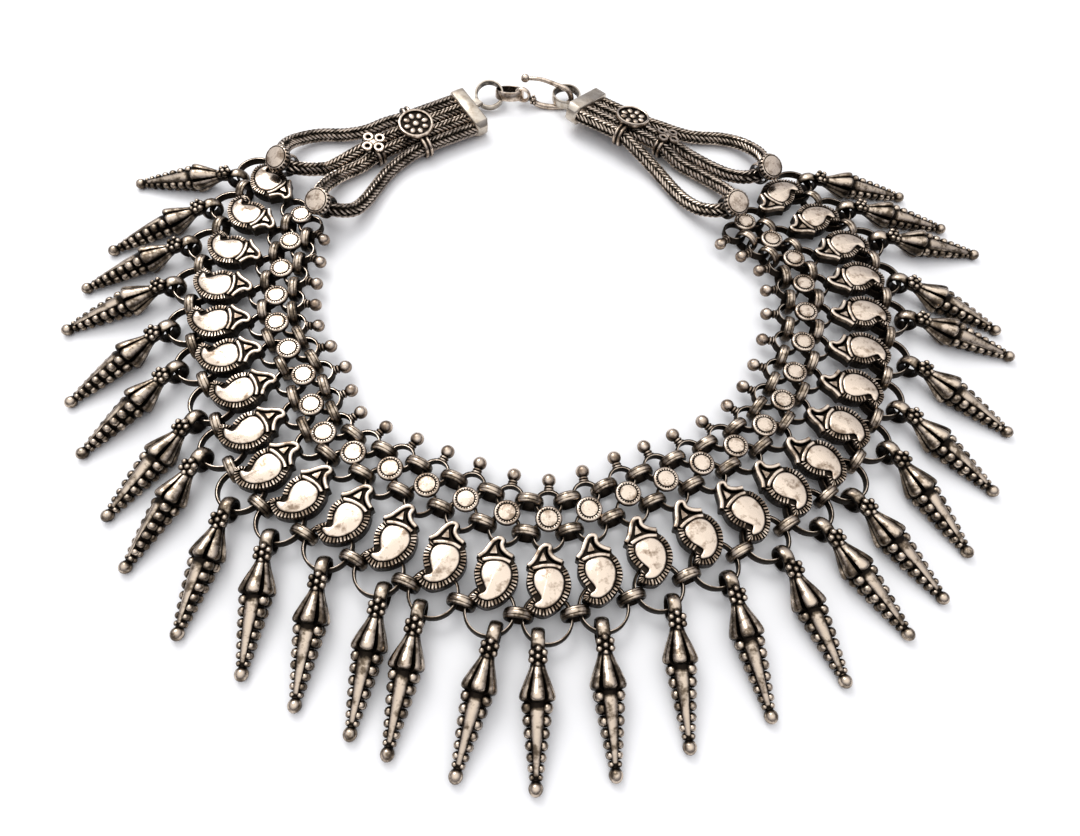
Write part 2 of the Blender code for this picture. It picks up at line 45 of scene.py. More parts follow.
OCCLUSION_REACH = 1.6                           # millimetres: how far the occlusion rays reach; the hollows they find get black oxide and painted shade
DROP_OCCLUSION_REACH = 1.1                      # the same on the drops, which are rounder
OCCLUSION_RAYS = 22
RAY_START = 0.03                            # above the surface, so that a ray doesn't meet its own face
FAR_WALL_LESS = 0.6                         # a wall at full reach counts this much less than one that touches
SIDE_SHADE = 0.3                            # painted shade: how much darker a standing wall is made than a top; the next line for the drops
DROP_SIDE_SHADE = 0.2
FITTING_SIDE_SHADE = 0.1                       # painted shade on the standing walls of the fittings, less than elsewhere

# Plan of the collar: x and y in millimetres, heading in degrees, for every second column
COLLAR_ROUTE = [
    (-74.5, 43.5, -137), (-77, 24.5, -111), (-75.5, 7, -88), (-66.5, -8.5, -70), (-59.5, -24.5, -50),
    (-43, -33.5, -33), (-25, -41, -16), (-6, -45.5, -1), (12.5, -39, 15), (30.5, -31, 36),
    (47, -20.5, 52), (57, -5, 73), (63, 14, 89), (62.5, 32, 108), (50.5, 45, 133),
]
LEFT_COLUMNS = 15
BAND_WALL = 0.6
BAND_BOTTOM, BAND_TOP = 2.5, 4.7
BAND_MIDDLE = (BAND_BOTTOM + BAND_TOP) / 2
BAND_RINGS = [(3.4, -4.1, 30), (3.9, 3.65, 32), (5.75, 22.4, 40)]   # radius, place outward, sides
LINK_RADIUS = 3.44

# Drops: heading, place of the bail round the lower ring, its distance from that ring's centre, roll
DROPS = [
    (-88.1, 67, 5.4, -26), (-60, 33, 5.5, 30), (-61.5, 18, 5.5, 30), (-62.6, 10, 5.5, 0),
    (-44.5, 12, 5.4, 30), (-39.6, 11, 5.5, 30), (-33.8, 37, 6, 0), (-25.6, 4, 5.45, 30),
    (-13.1, 26, 5.2, 14), (-3.6, 22, 5.1, 0), (-5.4, 28, 5.1, 0), (-8.6, 38, 5.2, 0),
    (-9.2, -18, 5.1, 0), (-14.1, 20, 5.1, 0), (-0.6, -22, 5.2, 0), (3.9, -12, 5, 0),
    (3.2, 18, 5.2, 14), (12.5, 10, 5.1, 14), (20.9, 3, 5.8, 14), (34.4, -13, 5, 0),
    (36.6, -34, 5.1, 0), (30.3, -3, 5.6, 0), (43.8, -24, 5.3, 0), (51.3, -15, 5.9, 0),
    (70.1, -3, 5.4, 30), (60.8, -16, 5.3, 0), (84.7, 3, 5.4, 30), (81.2, -9, 5.5, 30),
    (84.1, -17, 5.5, 30),
]
BAIL_HEIGHT = 3.4
BODY_START = 1.9                 # the drop's axis above the bail's centre
BODY_SLOPE = math.radians(7.9)

# Woven strands, and each end's cap and clamps
STRAND_RADIUS = 1.85
STRAND_PITCH = 4.05
STRAND_HEIGHT = 3.3
ROW_STEP = 1.38                  # from one row of the weave to the next
CORE_RADIUS = 1.45               # the black core under the wires: painted shade of the chain's inside, with its oxide
WIRE_SPAN, WIRE_LONG = 74, 3.3   # degrees round the chain and length along it, of one wire loop
WIRE_LATER = 0.34                # how far the two slants are out of step
MIDDLE_STRAND = 1.5
PLATE_ABOVE = 2.75               # foot of the rosettes and flowers above the strands' middle
CAP_THICKNESS, CAP_HEIGHT, CAP_LENGTH = 4.4, 6.0, 16.4
ENDS = {
    "left": {
        "side": 1, "roll": -8, "flower_turn": -38,
        "cap": (-29.8, 87.3, 215.5), "rosette": (-45.2, 78.1, 211), "flower": (-57.1, 70.7, 218.5),
        "loop_a": [
            (-54.4, 81.6, 4.3), (-60.4, 79.2, 3.2), (-66.8, 78.2, 2.5), (-74.3, 77.6, 2.6),
            (-80, 74.8, 3.4), (-82.8, 70.8, 4.8), (-82.9, 66, 6.1), (-80.3, 60.8, 6.6),
            (-76.6, 60.2, 6), (-72.4, 61.9, 4.3), (-68.6, 64.7, 3),
        ],
        "loop_b": [
            (-60.4, 65.2, 2.9), (-65.3, 61.5, 3.1), (-68.4, 57.4, 4.1), (-70, 53, 5.4), (-70, 49, 6.3),
            (-67.4, 45.4, 6.6), (-63.8, 44.8, 5.9), (-60.2, 46.9, 4.3), (-57.6, 51.6, 3.1),
            (-55.4, 57, 2.6), (-52.6, 62.8, 2.5), (-48.2, 68.4, 2.7),
        ],
        "stud_a": 7, "stud_b": 5,
    },
    "right": {
        "side": -1, "roll": 12, "flower_turn": 43,
        "cap": (6.4, 91, -40.5), "rosette": (19.6, 82.2, -33.5), "flower": (30, 76, -43),
        "loop_a": [
            (29.2, 84.8, 3.1), (38.2, 81.9, 2.4), (47.9, 81.3, 2.3), (53.6, 79, 2.9), (57.4, 75, 4),
            (59, 70.4, 5.4), (58.7, 66.4, 6.4), (56.7, 62.7, 6.7), (53.1, 61.6, 6.1),
            (48.8, 63.9, 4.3), (43.7, 68.2, 3), (37.7, 73, 2.8),
        ],
        "loop_b": [
            (34.2, 69.6, 2.8), (40.1, 65, 2.8), (44.8, 60.6, 3.4), (47.4, 56.3, 4.8), (48.1, 52, 6.2),
            (45.5, 48.9, 6.6), (42.2, 48.4, 5.9), (38.2, 50.6, 4.2), (34.6, 54.6, 3),
            (31.4, 59.4, 2.6), (27, 66, 3.2), (21.6, 72.2, 4.8),
        ],
        "stud_a": 7, "stud_b": 5,
    },
}

# Clasp
CLASP_RADIUS, CLASP_HEIGHT = 4.5, 2.7
CLASP_RINGS = [((-23.8, 96.6, 3.4), 25), ((-17.4, 97.6, 3.4), -25), ((0.5, 97, 3.4), 0)]
HOOK_ROUTE = [
    (-8.8, 95.6, 1.5), (-5.8, 95.2, 0.95), (-2.2, 95.2, 0.9), (0.6, 95.7, 1.4), (2, 96.5, 3.2),
    (0.6, 97.6, 5.4), (-3, 98.8, 6.3), (-7.6, 100.2, 6.9), (-12.6, 100.7, 6.8),
]
HOOK_RADIUS = 0.9
HOOK_BALL = (1.4, 1.3, 1.3)
LUG_WIDTH, LUG_THICKNESS = 3.0, 1.2
LUG_SHARE = 0.7                  # how far the lug follows its ring off the middle of the cap
EYE_RADIUS = 2.15
EYE_PLACE = -14                  # degrees round the second ring
TAPER, TAPER_FROM = 0.35, 0.55   # how much thinner the wire ends, and from which share of its length


def turn(degrees, axis):
    return Matrix.Rotation(math.radians(degrees), 4, axis)


def shift(x=0, y=0, z=0):
    return Matrix.Translation((x, y, z))


def shape(build):
    """A mesh in millimetres, from a function that fills a bmesh.

    The layer says how black each point is: black oxide in hollows and painted shade.
    """
    bm = bmesh.new()
    bm.verts.layers.float.new("oxide_and_painted_shade")
    build(bm)
    bmesh.ops.recalc_face_normals(bm, faces=bm.faces)
    mesh = bpy.data.meshes.new("shape")
    bm.to_mesh(mesh)
    bm.free()
    return mesh


def skin(bm, loops, closed=False, oxide_and_shade=None):
    """Faces between loops with the same number of points. Open ends get a flat cap."""
    layer = bm.verts.layers.float["oxide_and_painted_shade"]
    rows = []
    for number, loop in enumerate(loops):
        row = [bm.verts.new(point) for point in loop]
        # each loop's blackness: oxide in hollows and painted shade on walls and undersides
        black = oxide_and_shade[number] if oxide_and_shade else 0
        for k, vertex in enumerate(row):
            vertex[layer] = black[k] if isinstance(black, list) else black
        rows.append(row)
    for first, second in zip(rows, rows[1:] + (rows[:1] if closed else [])):
        for i in range(len(first)):
            j = (i + 1) % len(first)
            bm.faces.new((first[i], first[j], second[j], second[i]))
    if not closed:
        bm.faces.new(list(reversed(rows[0])))
        bm.faces.new(rows[-1])


def turned(bm, profile, sides, matrix, oxide_and_shade=None):
    """A solid turned about X, from (distance, radius) pairs."""
    loops = []
    for along, radius in profile:
        angles = [2 * math.pi * i / sides for i in range(sides)]
        loops.append([matrix @ Vector((along, radius * math.cos(a), radius * math.sin(a))) for a in angles])
    skin(bm, loops, oxide_and_shade=oxide_and_shade)


def ring(bm, section, sides, matrix, oxide_and_shade=None):
    """A ring about Z, from the (radius, height) pairs of its section."""
    angles = [2 * math.pi * i / sides for i in range(sides)]
    loops = [[matrix @ Vector((r * math.cos(a), r * math.sin(a), z)) for a in angles] for r, z in section]
    skin(bm, loops, closed=True, oxide_and_shade=oxide_and_shade)


def granule(bm, centre, radii, matrix=Matrix(), sides=10, rows=6):
    """A small ball or oval bead."""
    place = matrix @ shift(*centre) @ Matrix.Diagonal((*radii, 1))
    bmesh.ops.create_uvsphere(bm, u_segments=sides, v_segments=rows, radius=1, matrix=place)


def spread(points, count, closed=True):
    """The same line with its points an equal way apart."""
    line = points + points[:1] if closed else points
    lengths = [0]
    for a, b in zip(line, line[1:]):
        lengths.append(lengths[-1] + (b - a).length)
    found = []
    k = 0
    for i in range(count):
        want = lengths[-1] * i / (count if closed else count - 1)
        while k < len(line) - 2 and lengths[k + 1] < want:
            k += 1
        part = (want - lengths[k]) / max(lengths[k + 1] - lengths[k], 1e-12)
        found.append(line[k].lerp(line[k + 1], min(part, 1)))
    return found


def smooth_line(points, steps, closed=False):
    """A smooth curve through the points."""
    points = [Vector(p) for p in points]
    if closed:
        padded = points[-1:] + points + points[:2]
    else:
        padded = [points[0] * 2 - points[1]] + points + [points[-1] * 2 - points[-2]]
    curve = []
    for i in range(1, len(padded) - 2):
        a, b, c, d = padded[i - 1:i + 3]
        for k in range(steps):
            t = k / steps
            curve.append(0.5 * (2 * b + (c - a) * t + (2 * a - 5 * b + 4 * c - d) * t * t
                                + (3 * b - a - 3 * c + d) * t ** 3))
    if not closed:
        curve.append(points[-1])
    return curve


def inset(outline, distance, softer=0):
    """The outline moved inwards by a distance, and rounded a little."""
    count = len(outline)
    area = sum(a.x * b.y - a.y * b.x for a, b in zip(outline, outline[1:] + outline[:1]))
    sign = 1 if area > 0 else -1
    moved = []
    for i in range(count):
        along = (outline[(i + 1) % count] - outline[i - 1]).normalized()
        moved.append(outline[i] + Vector((-along.y, along.x)) * distance * sign)
    for _ in range(softer):
        moved = [(moved[i - 1] + moved[i] * 2 + moved[(i + 1) % count]) / 4 for i in range(count)]
    return moved


def lifted(outline, heights):
    """Outline points at one height or at one each."""
    if not isinstance(heights, list):
        heights = [heights] * len(outline)
    return [Vector((p.x, p.y, z)) for p, z in zip(outline, heights)]


def ridge(bm, route, width, low, high, oxide_and_shade=0):
    """A smooth raised strip along a flat route."""
    half = width / 2
    section = [(-half, low), (-half * 0.85, high - 0.15), (-half * 0.45, high), (half * 0.45, high),
               (half * 0.85, high - 0.15), (half, low)]
    loops = []
    for i, point in enumerate(route):
        along = (route[min(i + 1, len(route) - 1)] - route[max(i - 1, 0)]).normalized()
        side = Vector((-along.y, along.x))
        loops.append([Vector((point.x + side.x * w, point.y + side.y * w, z)) for w, z in section])
    skin(bm, loops, oxide_and_shade=[oxide_and_shade] * len(loops))


def tube(bm, route, radii, sides, oxide_and_shade=None):
    """A round wire along a route."""
    loops = []
    up = Vector((0, 0, 1))
    side = None
    for i, point in enumerate(route):
        along = (route[min(i + 1, len(route) - 1)] - route[max(i - 1, 0)]).normalized()
        if side is None:
            side = along.cross(up).normalized()
        side = (side - along * side.dot(along)).normalized()
        other = along.cross(side)
        loops.append([point + (side * math.cos(2 * math.pi * k / sides)
                               + other * math.sin(2 * math.pi * k / sides)) * radii[i] for k in range(sides)])
    skin(bm, loops, oxide_and_shade=oxide_and_shade)


def ray_fan(count):
    """Directions over a half ball about +Z, closer together near its pole."""
    golden = math.pi * (3 - math.sqrt(5))
    fan = []
    for i in range(count):
        height = math.sqrt((i + 0.5) / count)
        reach = math.sqrt(1 - height * height)
        fan.append(Vector((reach * math.cos(golden * i), reach * math.sin(golden * i), height)))
    return fan


def oxidised_and_shaded(mesh, reach=OCCLUSION_REACH, side_shade=SIDE_SHADE):
    """Writes into the layer how far each point is shut in, by ray-cast occlusion: black oxide in the hollows,
    which also paints their shade, and painted shade on standing walls.
    """
    tree = BVHTree.FromPolygons([v.co for v in mesh.vertices], [p.vertices for p in mesh.polygons])
    fan = ray_fan(OCCLUSION_RAYS)
    layer = mesh.attributes["oxide_and_painted_shade"]
    for vertex, entry in zip(mesh.vertices, layer.data):
        turned_to = Vector((0, 0, 1)).rotation_difference(vertex.normal)
        start = vertex.co + vertex.normal * RAY_START
        shut = 0
        for ray in fan:
            hit = tree.ray_cast(start, turned_to @ ray, reach)
            if hit[0] is not None:
                shut += 1 - FAR_WALL_LESS * hit[3] / reach
        # painted shade: the more a face turns sideways or down, the darker it is made
        side = side_shade * (1 - max(0, vertex.normal.z))
        entry.value = max(entry.value, min(1, shut / len(fan) + side))
    return mesh


def finished(mesh):
    """From millimetres to metres, with smooth shading that breaks at sharp edges."""
    mesh.transform(Matrix.Scale(MM, 4))
    mesh.shade_smooth()
    mesh.set_sharp_from_angle(angle=SMOOTH_ANGLE)
    return mesh


def add_object(name, mesh, material):
    thing = bpy.data.objects.new(name, mesh)
    bpy.context.scene.collection.objects.link(thing)
    if material is not None:
        mesh.materials.clear()
        mesh.materials.append(material)
    return thing


def node(tree, kind, **settings):
    made = tree.nodes.new(kind)
    for key, value in settings.items():
        setattr(made, key, value)
    return made


def wired(tree, *wires):
    """Links each pair of sockets, in the order given."""
    for source, output, target, entry in wires:
        tree.links.new(source.outputs[output], target.inputs[entry])


# Geometry Nodes trees
def new_tree(name, result, **entries):
    """An empty tree with its own sockets, and its first and last nodes."""
    tree = bpy.data.node_groups.new(name, "GeometryNodeTree")
    for entry, kind in entries.items():
        tree.interface.new_socket(entry, in_out="INPUT", socket_type="NodeSocket" + kind)
    tree.interface.new_socket(result, in_out="OUTPUT", socket_type="NodeSocketGeometry")
    return tree, node(tree, "NodeGroupInput"), node(tree, "NodeGroupOutput")


def copies_tree():
    """A copy of the template at each point, turned as the point says."""
    tree, given, result = new_tree("Copies at points", "Copies", Points="Geometry", Template="Object",
                                   Finish="Material")
    template = node(tree, "GeometryNodeObjectInfo")
    turned_by = node(tree, "GeometryNodeInputNamedAttribute", data_type="QUATERNION")
    turned_by.inputs["Name"].default_value = "turn"
    place = node(tree, "GeometryNodeInstanceOnPoints")
    real = node(tree, "GeometryNodeRealizeInstances")
    coat = node(tree, "GeometryNodeSetMaterial")
    wired(tree, (given, "Template", template, "Object"), (given, "Points", place, "Points"),
          (template, "Geometry", place, "Instance"), (turned_by, "Attribute", place, "Rotation"),
          (place, "Instances", real, "Geometry"), (real, "Geometry", coat, "Geometry"),
          (given, "Finish", coat, "Material"), (coat, "Geometry", result, "Copies"))
    return tree


def weave_tree():
    """A woven chain along a line: a black core with a row of slanted wire loops at every step."""
    tree, given, result = new_tree("Woven chain", "Chain", Line="Geometry", Row="Object", Step="Float",
                                   Core="Float", Finish="Material")
    curve = node(tree, "GeometryNodeMeshToCurve")
    upright = node(tree, "GeometryNodeSetCurveNormal", mode="Z_UP")
    steps = node(tree, "GeometryNodeCurveToPoints", mode="LENGTH")
    row = node(tree, "GeometryNodeObjectInfo")
    place = node(tree, "GeometryNodeInstanceOnPoints")
    circle = node(tree, "GeometryNodeCurvePrimitiveCircle")
    circle.inputs["Resolution"].default_value = 12
    sweep = node(tree, "GeometryNodeCurveToMesh")
    sweep.inputs["Fill Caps"].default_value = True
    # the core is written full black: painted shade of the chain's inside, with its oxide
    black = node(tree, "GeometryNodeStoreNamedAttribute", data_type="FLOAT", domain="POINT")
    black.inputs["Name"].default_value = "oxide_and_painted_shade"
    black.inputs["Value"].default_value = 1
    both = node(tree, "GeometryNodeJoinGeometry")
    real = node(tree, "GeometryNodeRealizeInstances")
    coat = node(tree, "GeometryNodeSetMaterial")
    wired(tree, (given, "Line", curve, "Mesh"), (curve, "Curve", upright, "Curve"),
          (upright, "Curve", steps, "Curve"), (given, "Step", steps, "Length"), (given, "Row", row, "Object"),
          (steps, "Points", place, "Points"), (steps, "Rotation", place, "Rotation"),
          (row, "Geometry", place, "Instance"), (upright, "Curve", sweep, "Curve"),
          (given, "Core", circle, "Radius"), (circle, "Curve", sweep, "Profile Curve"),
          (sweep, "Mesh", black, "Geometry"), (black, "Geometry", both, "Geometry"),
          (place, "Instances", both, "Geometry"), (both, "Geometry", real, "Geometry"),
          (real, "Geometry", coat, "Geometry"), (given, "Finish", coat, "Material"),
          (coat, "Geometry", result, "Chain"))
    return tree


def grown(name, start, tree, values):
    """The result of a tree on a start mesh, as a plain mesh object."""
    host = bpy.data.objects.new("start", start)
    bpy.context.scene.collection.objects.link(host)
    modifier = host.modifiers.new("Grow", "NODES")
    modifier.node_group = tree
    for item in tree.interface.items_tree:
        if item.item_type == "SOCKET" and item.in_out == "INPUT" and item.name in values:
            modifier[item.identifier] = values[item.name]
    bpy.context.view_layer.update()
    graph = bpy.context.evaluated_depsgraph_get()
    mesh = bpy.data.meshes.new_from_object(host.evaluated_get(graph), preserve_all_data_layers=True,
                                           depsgraph=graph)
    host.modifiers.clear()
    bpy.data.objects.remove(host, do_unlink=True)
    return add_object(name, mesh, None)


def copies(name, template_mesh, matrices, material):
    """One piece made of the template at every matrix; the matrices are in millimetres."""
    template = add_object("template", template_mesh, material)
    points = bpy.data.meshes.new("places")
    points.from_pydata([tuple(m.to_translation() * MM + TO_FRAME) for m in matrices], [], [])
    turns = points.attributes.new("turn", "QUATERNION", "POINT")
    for entry, matrix in zip(turns.data, matrices):
        entry.value = matrix.to_quaternion()
    piece = grown(name, points, COPIES, {"Template": template, "Finish": material})
    bpy.data.objects.remove(template, do_unlink=True)
    return piece


def settled(piece, slot, *nodes):
    """The piece rides on the necklace and stands for its nodes; the slot is not used."""
    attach(piece, "root")
    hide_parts(*nodes)
    return piece


# Finishes
CLOUD_SCALE, GRAIN_SCALE, DENT_SCALE = 420, 1700, 330
STAIN_SHARE, STAIN_LESS = 0.85, -0.36       # how much of the cloud and of the grain goes into the blackening
SPECK_SHARE, SPECK_LESS = 0.3, -0.15
DULLER = 0.34                               # how much rougher the blackened parts are than polished silver
BRIGHT_AT, MIDDLE_AT = 0.08, 0.5            # blackening of bright silver; of brown-grey, as a share of black
DENT_STRENGTH, DENT_DEPTH = 0.6, 0.00022
GRAIN_STRENGTH, GRAIN_DEPTH = 0.4, 0.00005


def silver_finish(name, bright, middle, dark, rough, black_at):
    """Antique silver: bright polished silver, brown-grey between, black where the layer says: oxide and
    painted shade in the hollows and on walls, with stains over all.
    """
    material = bpy.data.materials.new(name)
    material.use_nodes = True
    tree = material.node_tree
    shader = tree.nodes["Principled BSDF"]
    shader.inputs["Metallic"].default_value = 1
    place = node(tree, "ShaderNodeTexCoord")
    oxide_and_painted_shade = node(tree, "ShaderNodeAttribute", attribute_name="oxide_and_painted_shade")

    def noise(scale, detail):
        texture = node(tree, "ShaderNodeTexNoise")
        texture.inputs["Scale"].default_value = scale
        texture.inputs["Detail"].default_value = detail
        wired(tree, (place, "Object", texture, "Vector"))
        return texture

    def scaled(texture, share, more):
        maths = node(tree, "ShaderNodeMath", operation="MULTIPLY_ADD")
        maths.inputs[1].default_value = share
        maths.inputs[2].default_value = more
        wired(tree, (texture, "Fac", maths, 0))
        return maths

    def bumpy(texture, strength, depth):
        bump = node(tree, "ShaderNodeBump")
        bump.inputs["Strength"].default_value = strength
        bump.inputs["Distance"].default_value = depth
        wired(tree, (texture, "Fac", bump, "Height"))
        return bump

    grain = noise(GRAIN_SCALE, 3)
    stained = node(tree, "ShaderNodeMath", operation="ADD")
    stain_oxide_and_shade = node(tree, "ShaderNodeMath", operation="ADD", use_clamp=True)
    ramp = node(tree, "ShaderNodeValToRGB")
    tones = ramp.color_ramp.elements
    tones[0].position, tones[0].color = BRIGHT_AT, (*bright, 1)
    tones[1].position, tones[1].color = black_at, (*dark, 1)
    tones.new(black_at * MIDDLE_AT).color = (*middle, 1)
    polish = node(tree, "ShaderNodeMapRange")
    polish.inputs["To Min"].default_value = rough
    polish.inputs["To Max"].default_value = rough + DULLER
    hammer = bumpy(noise(DENT_SCALE, 1), DENT_STRENGTH, DENT_DEPTH)
    bump = bumpy(grain, GRAIN_STRENGTH, GRAIN_DEPTH)
    wired(tree, (scaled(noise(CLOUD_SCALE, 3), STAIN_SHARE, STAIN_LESS), 0, stained, 0),
          (scaled(grain, SPECK_SHARE, SPECK_LESS), 0, stained, 1), (oxide_and_painted_shade, "Fac", stain_oxide_and_shade, 0),
          (stained, 0, stain_oxide_and_shade, 1), (stain_oxide_and_shade, 0, ramp, "Fac"), (ramp, "Color", shader, "Base Color"),
          (stain_oxide_and_shade, 0, polish, "Value"), (polish, "Result", shader, "Roughness"),
          (hammer, "Normal", bump, "Normal"), (bump, "Normal", shader, "Normal"))
    return material


# Name, colours of polished, brown-grey and black silver, roughness, how shut in the full black is
POLISHED = silver_finish("antique_silver", (0.68, 0.57, 0.47), (0.27, 0.2, 0.146),
                         (0.02, 0.015, 0.011), 0.2, 0.5)
DARKER = silver_finish("worn_grey_silver", (0.58, 0.48, 0.385), (0.165, 0.125, 0.088),
                       (0.014, 0.0105, 0.008), 0.22, 0.42)
WOVEN = silver_finish("woven_silver", (0.6, 0.5, 0.415), (0.155, 0.122, 0.092),
                      (0.009, 0.007, 0.005), 0.22, 0.45)
SMOOTH = silver_finish("smooth_silver", (0.58, 0.52, 0.445), (0.41, 0.345, 0.275),
                       (0.03, 0.023, 0.017), 0.28, 0.6)
COPIES = copies_tree()
WEAVE = weave_tree()


# Columns: outlines in sideways and outward places, heights above the table
PAISLEY = [
    (-0.4, 6.05), (0.5, 6.25), (1.0, 7.0), (0.75, 8.05), (1.25, 8.9), (2.2, 9.55), (3.45, 10.05),
    (3.4, 11.0), (4.15, 12.0), (4.75, 13.5), (5.05, 15.0), (4.95, 16.6), (4.45, 17.95), (3.75, 19.1),
    (2.6, 20.5), (1.1, 21.65), (-0.7, 22.4), (-2.4, 22.1), (-3.75, 21.35), (-4.6, 20.75), (-4.25, 19.9),
    (-3.55, 19.1), (-3.25, 18.5), (-3.85, 17.5), (-4.4, 16.4), (-4.75, 14.95), (-4.6, 13.4), (-4.3, 12.3),
    (-4.85, 11.55), (-3.65, 10.1), (-2.7, 8.2), (-1.7, 6.65),
]
TEARDROP = [
    (-2.95, 13.4), (-2.15, 12.45), (-0.5, 11.95), (1.1, 11.9), (2.3, 12.5), (3.2, 13.8), (3.4, 15.4),
    (3.0, 17.3), (2.05, 19.0), (0.7, 20.15), (-0.8, 20.75), (-2.3, 20.55), (-2.95, 20.05), (-2.1, 19.4),
    (-1.3, 18.8), (-1.85, 17.6), (-2.75, 16.1), (-3.1, 14.7),
]
LEAF = [
    (-4.45, 11.5), (-3.7, 10.8), (-3.05, 9.9), (-2.2, 8.15), (-1.35, 7.0), (-0.4, 6.6), (0.35, 7.0),
    (0.2, 8.1), (0.75, 9.1), (1.85, 9.9), (3.05, 10.4),
]
LEAF_BAND = [(-3.4, 12.1), (-2.2, 11.65), (-1.2, 11.4), (0.4, 11.25), (1.5, 11.35), (2.7, 11.75)]
LEAF_HEART = [(-1.35, 8.45), (-1.0, 8.45), (-0.35, 10.1), (-0.5, 10.4), (-2.0, 10.6), (-2.15, 10.35)]
PLATE_FLOOR = 5.95
PLATE_BARS = 52                # round the whole outline; only those of the body are cut
BODY_FROM = 11.9               # outward place where the milled body begins
MILLED_WIDTH = 1.45
BORDER_GROOVE = 0.22
BAR_POINTS, BAR_TOP = 5, 3     # points from one bar to the next, and those that stand high
DISC_BARS = 24
STUD_BARS = 20


def plan_points(pairs):
    """Sideways and outward places as points of the column's own plan."""
    return [Vector((side, -out)) for side, out in pairs]


def add_paisley(bm):
    """The teardrop plate: milled border, leaf at the point, smooth raised teardrop."""
    outline = spread(smooth_line(plan_points(PAISLEY), 8, closed=True), PLATE_BARS * BAR_POINTS)
    body = [p.y < -BODY_FROM for p in outline]

    def milled(high, low, point):
        """One value on the bars, one between them and one round the leaf at the plate's point."""
        barred = [high if i % BAR_POINTS < BAR_TOP else low for i in range(len(outline))]
        return [value if on_body else point for value, on_body in zip(barred, body)]

    drop = inset(spread(smooth_line(plan_points(TEARDROP), 6, closed=True), 66), -0.14)

    def towards_drop(width):
        """The outline moved in, on the body no further than the teardrop's groove."""
        moved = inset(outline, width)
        for i, point in enumerate(outline):
            if body[i]:
                nearest = min(drop, key=lambda q: (q - point).length)
                gap = (nearest - point).length
                moved[i] = point.lerp(nearest, min(width, gap - BORDER_GROOVE) / gap)
        return moved

    floor = towards_drop(MILLED_WIDTH)
    # the plate's walls and the grooves round the bars and teardrop are painted dark: oxide and painted shade
    skin(bm, [
        lifted(inset(outline, 0.35), 3.3),
        lifted(outline, 3.6),
        lifted(outline, [5.95 if b else 5.8 for b in body]),
        lifted(inset(outline, 0.16), milled(6.5, 6.05, PLATE_FLOOR)),
        lifted(towards_drop(MILLED_WIDTH - 0.15), milled(6.62, 6.12, PLATE_FLOOR)),
        lifted(floor, PLATE_FLOOR),
    ], oxide_and_shade=[0.9, 0.8, milled(0.3, 0.6, 0.8), milled(0, 0.55, 0.8), milled(0, 0.7, 0.8), 0.95])
    skin(bm, [lifted(drop, PLATE_FLOOR - 0.1), lifted(drop, 6.42), lifted(inset(drop, 0.14, 1), 6.62),
              lifted(inset(drop, 0.42, 2), 6.72)], oxide_and_shade=[1, 0.5, 0, 0])
    leaf = spread(smooth_line(plan_points(LEAF), 6), 30, closed=False)
    ridge(bm, leaf, 1.05, PLATE_FLOOR - 0.3, 6.85)
    leaf_band = spread(smooth_line(plan_points(LEAF_BAND), 5), 16, closed=False)
    ridge(bm, leaf_band, 1.0, PLATE_FLOOR - 0.1, 6.7)
    heart = plan_points(LEAF_HEART)
    skin(bm, [lifted(heart, PLATE_FLOOR - 0.1), lifted(heart, 6.45), lifted(inset(heart, 0.14), 6.65)],
         oxide_and_shade=[1, 0.4, 0])


def add_disc(bm):
    """The round plate: milled edge, incised circle, polished face."""
    count = DISC_BARS * BAR_POINTS

    def loop(radius, height, cut_radius=None, cut_height=None):
        points = []
        for i in range(count):
            cut = cut_radius is not None and i % BAR_POINTS >= BAR_TOP
            r = cut_radius if cut else radius
            a = 2 * math.pi * i / count
            points.append(Vector((r * math.cos(a), r * math.sin(a), cut_height if cut else height)))
        return points

    cut = [0.05 if i % BAR_POINTS < BAR_TOP else 0.9 for i in range(count)]
    # the underside and the incised circle are painted dark: oxide and painted shade
    skin(bm, [
        loop(2.6, 4.3), loop(3.0, 4.6), loop(3.1, 5.2), loop(3.0, 5.55), loop(2.8, 5.75), loop(2.55, 5.8),
        loop(2.4, 5.8, 2.4, 5.62), loop(2.2, 5.74, 2.2, 5.6), loop(2.12, 5.55), loop(2.0, 5.55),
        loop(1.9, 5.8), loop(0.9, 5.84),
    ], oxide_and_shade=[0.9, 0.8, 0.45, 0.15, 0, 0.1, cut, cut, 0.95, 0.95, 0, 0])


def add_band_rings(bm):
    """Three flat bands set on edge: black walls, thin bright rims."""
    for radius, out, sides in BAND_RINGS:
        inner = radius - BAND_WALL
        section = [(radius, BAND_BOTTOM + 0.1), (radius, BAND_TOP - 0.14), (radius - 0.1, BAND_TOP),
                   (inner + 0.26, BAND_TOP), (inner + 0.2, BAND_TOP), (inner + 0.08, BAND_TOP),
                   (inner, BAND_TOP - 0.14), (inner, BAND_BOTTOM + 0.1), (inner + 0.1, BAND_BOTTOM),
                   (radius - 0.1, BAND_BOTTOM)]
        # the walls are painted black, oxide and painted shade; only the rim's inner edge is left polished
        ring(bm, section, sides, shift(0, -out, 0), oxide_and_shade=[1, 0.9, 0.75, 0.7, 0.05, 0.05, 0.4, 1, 0.9, 0.9])


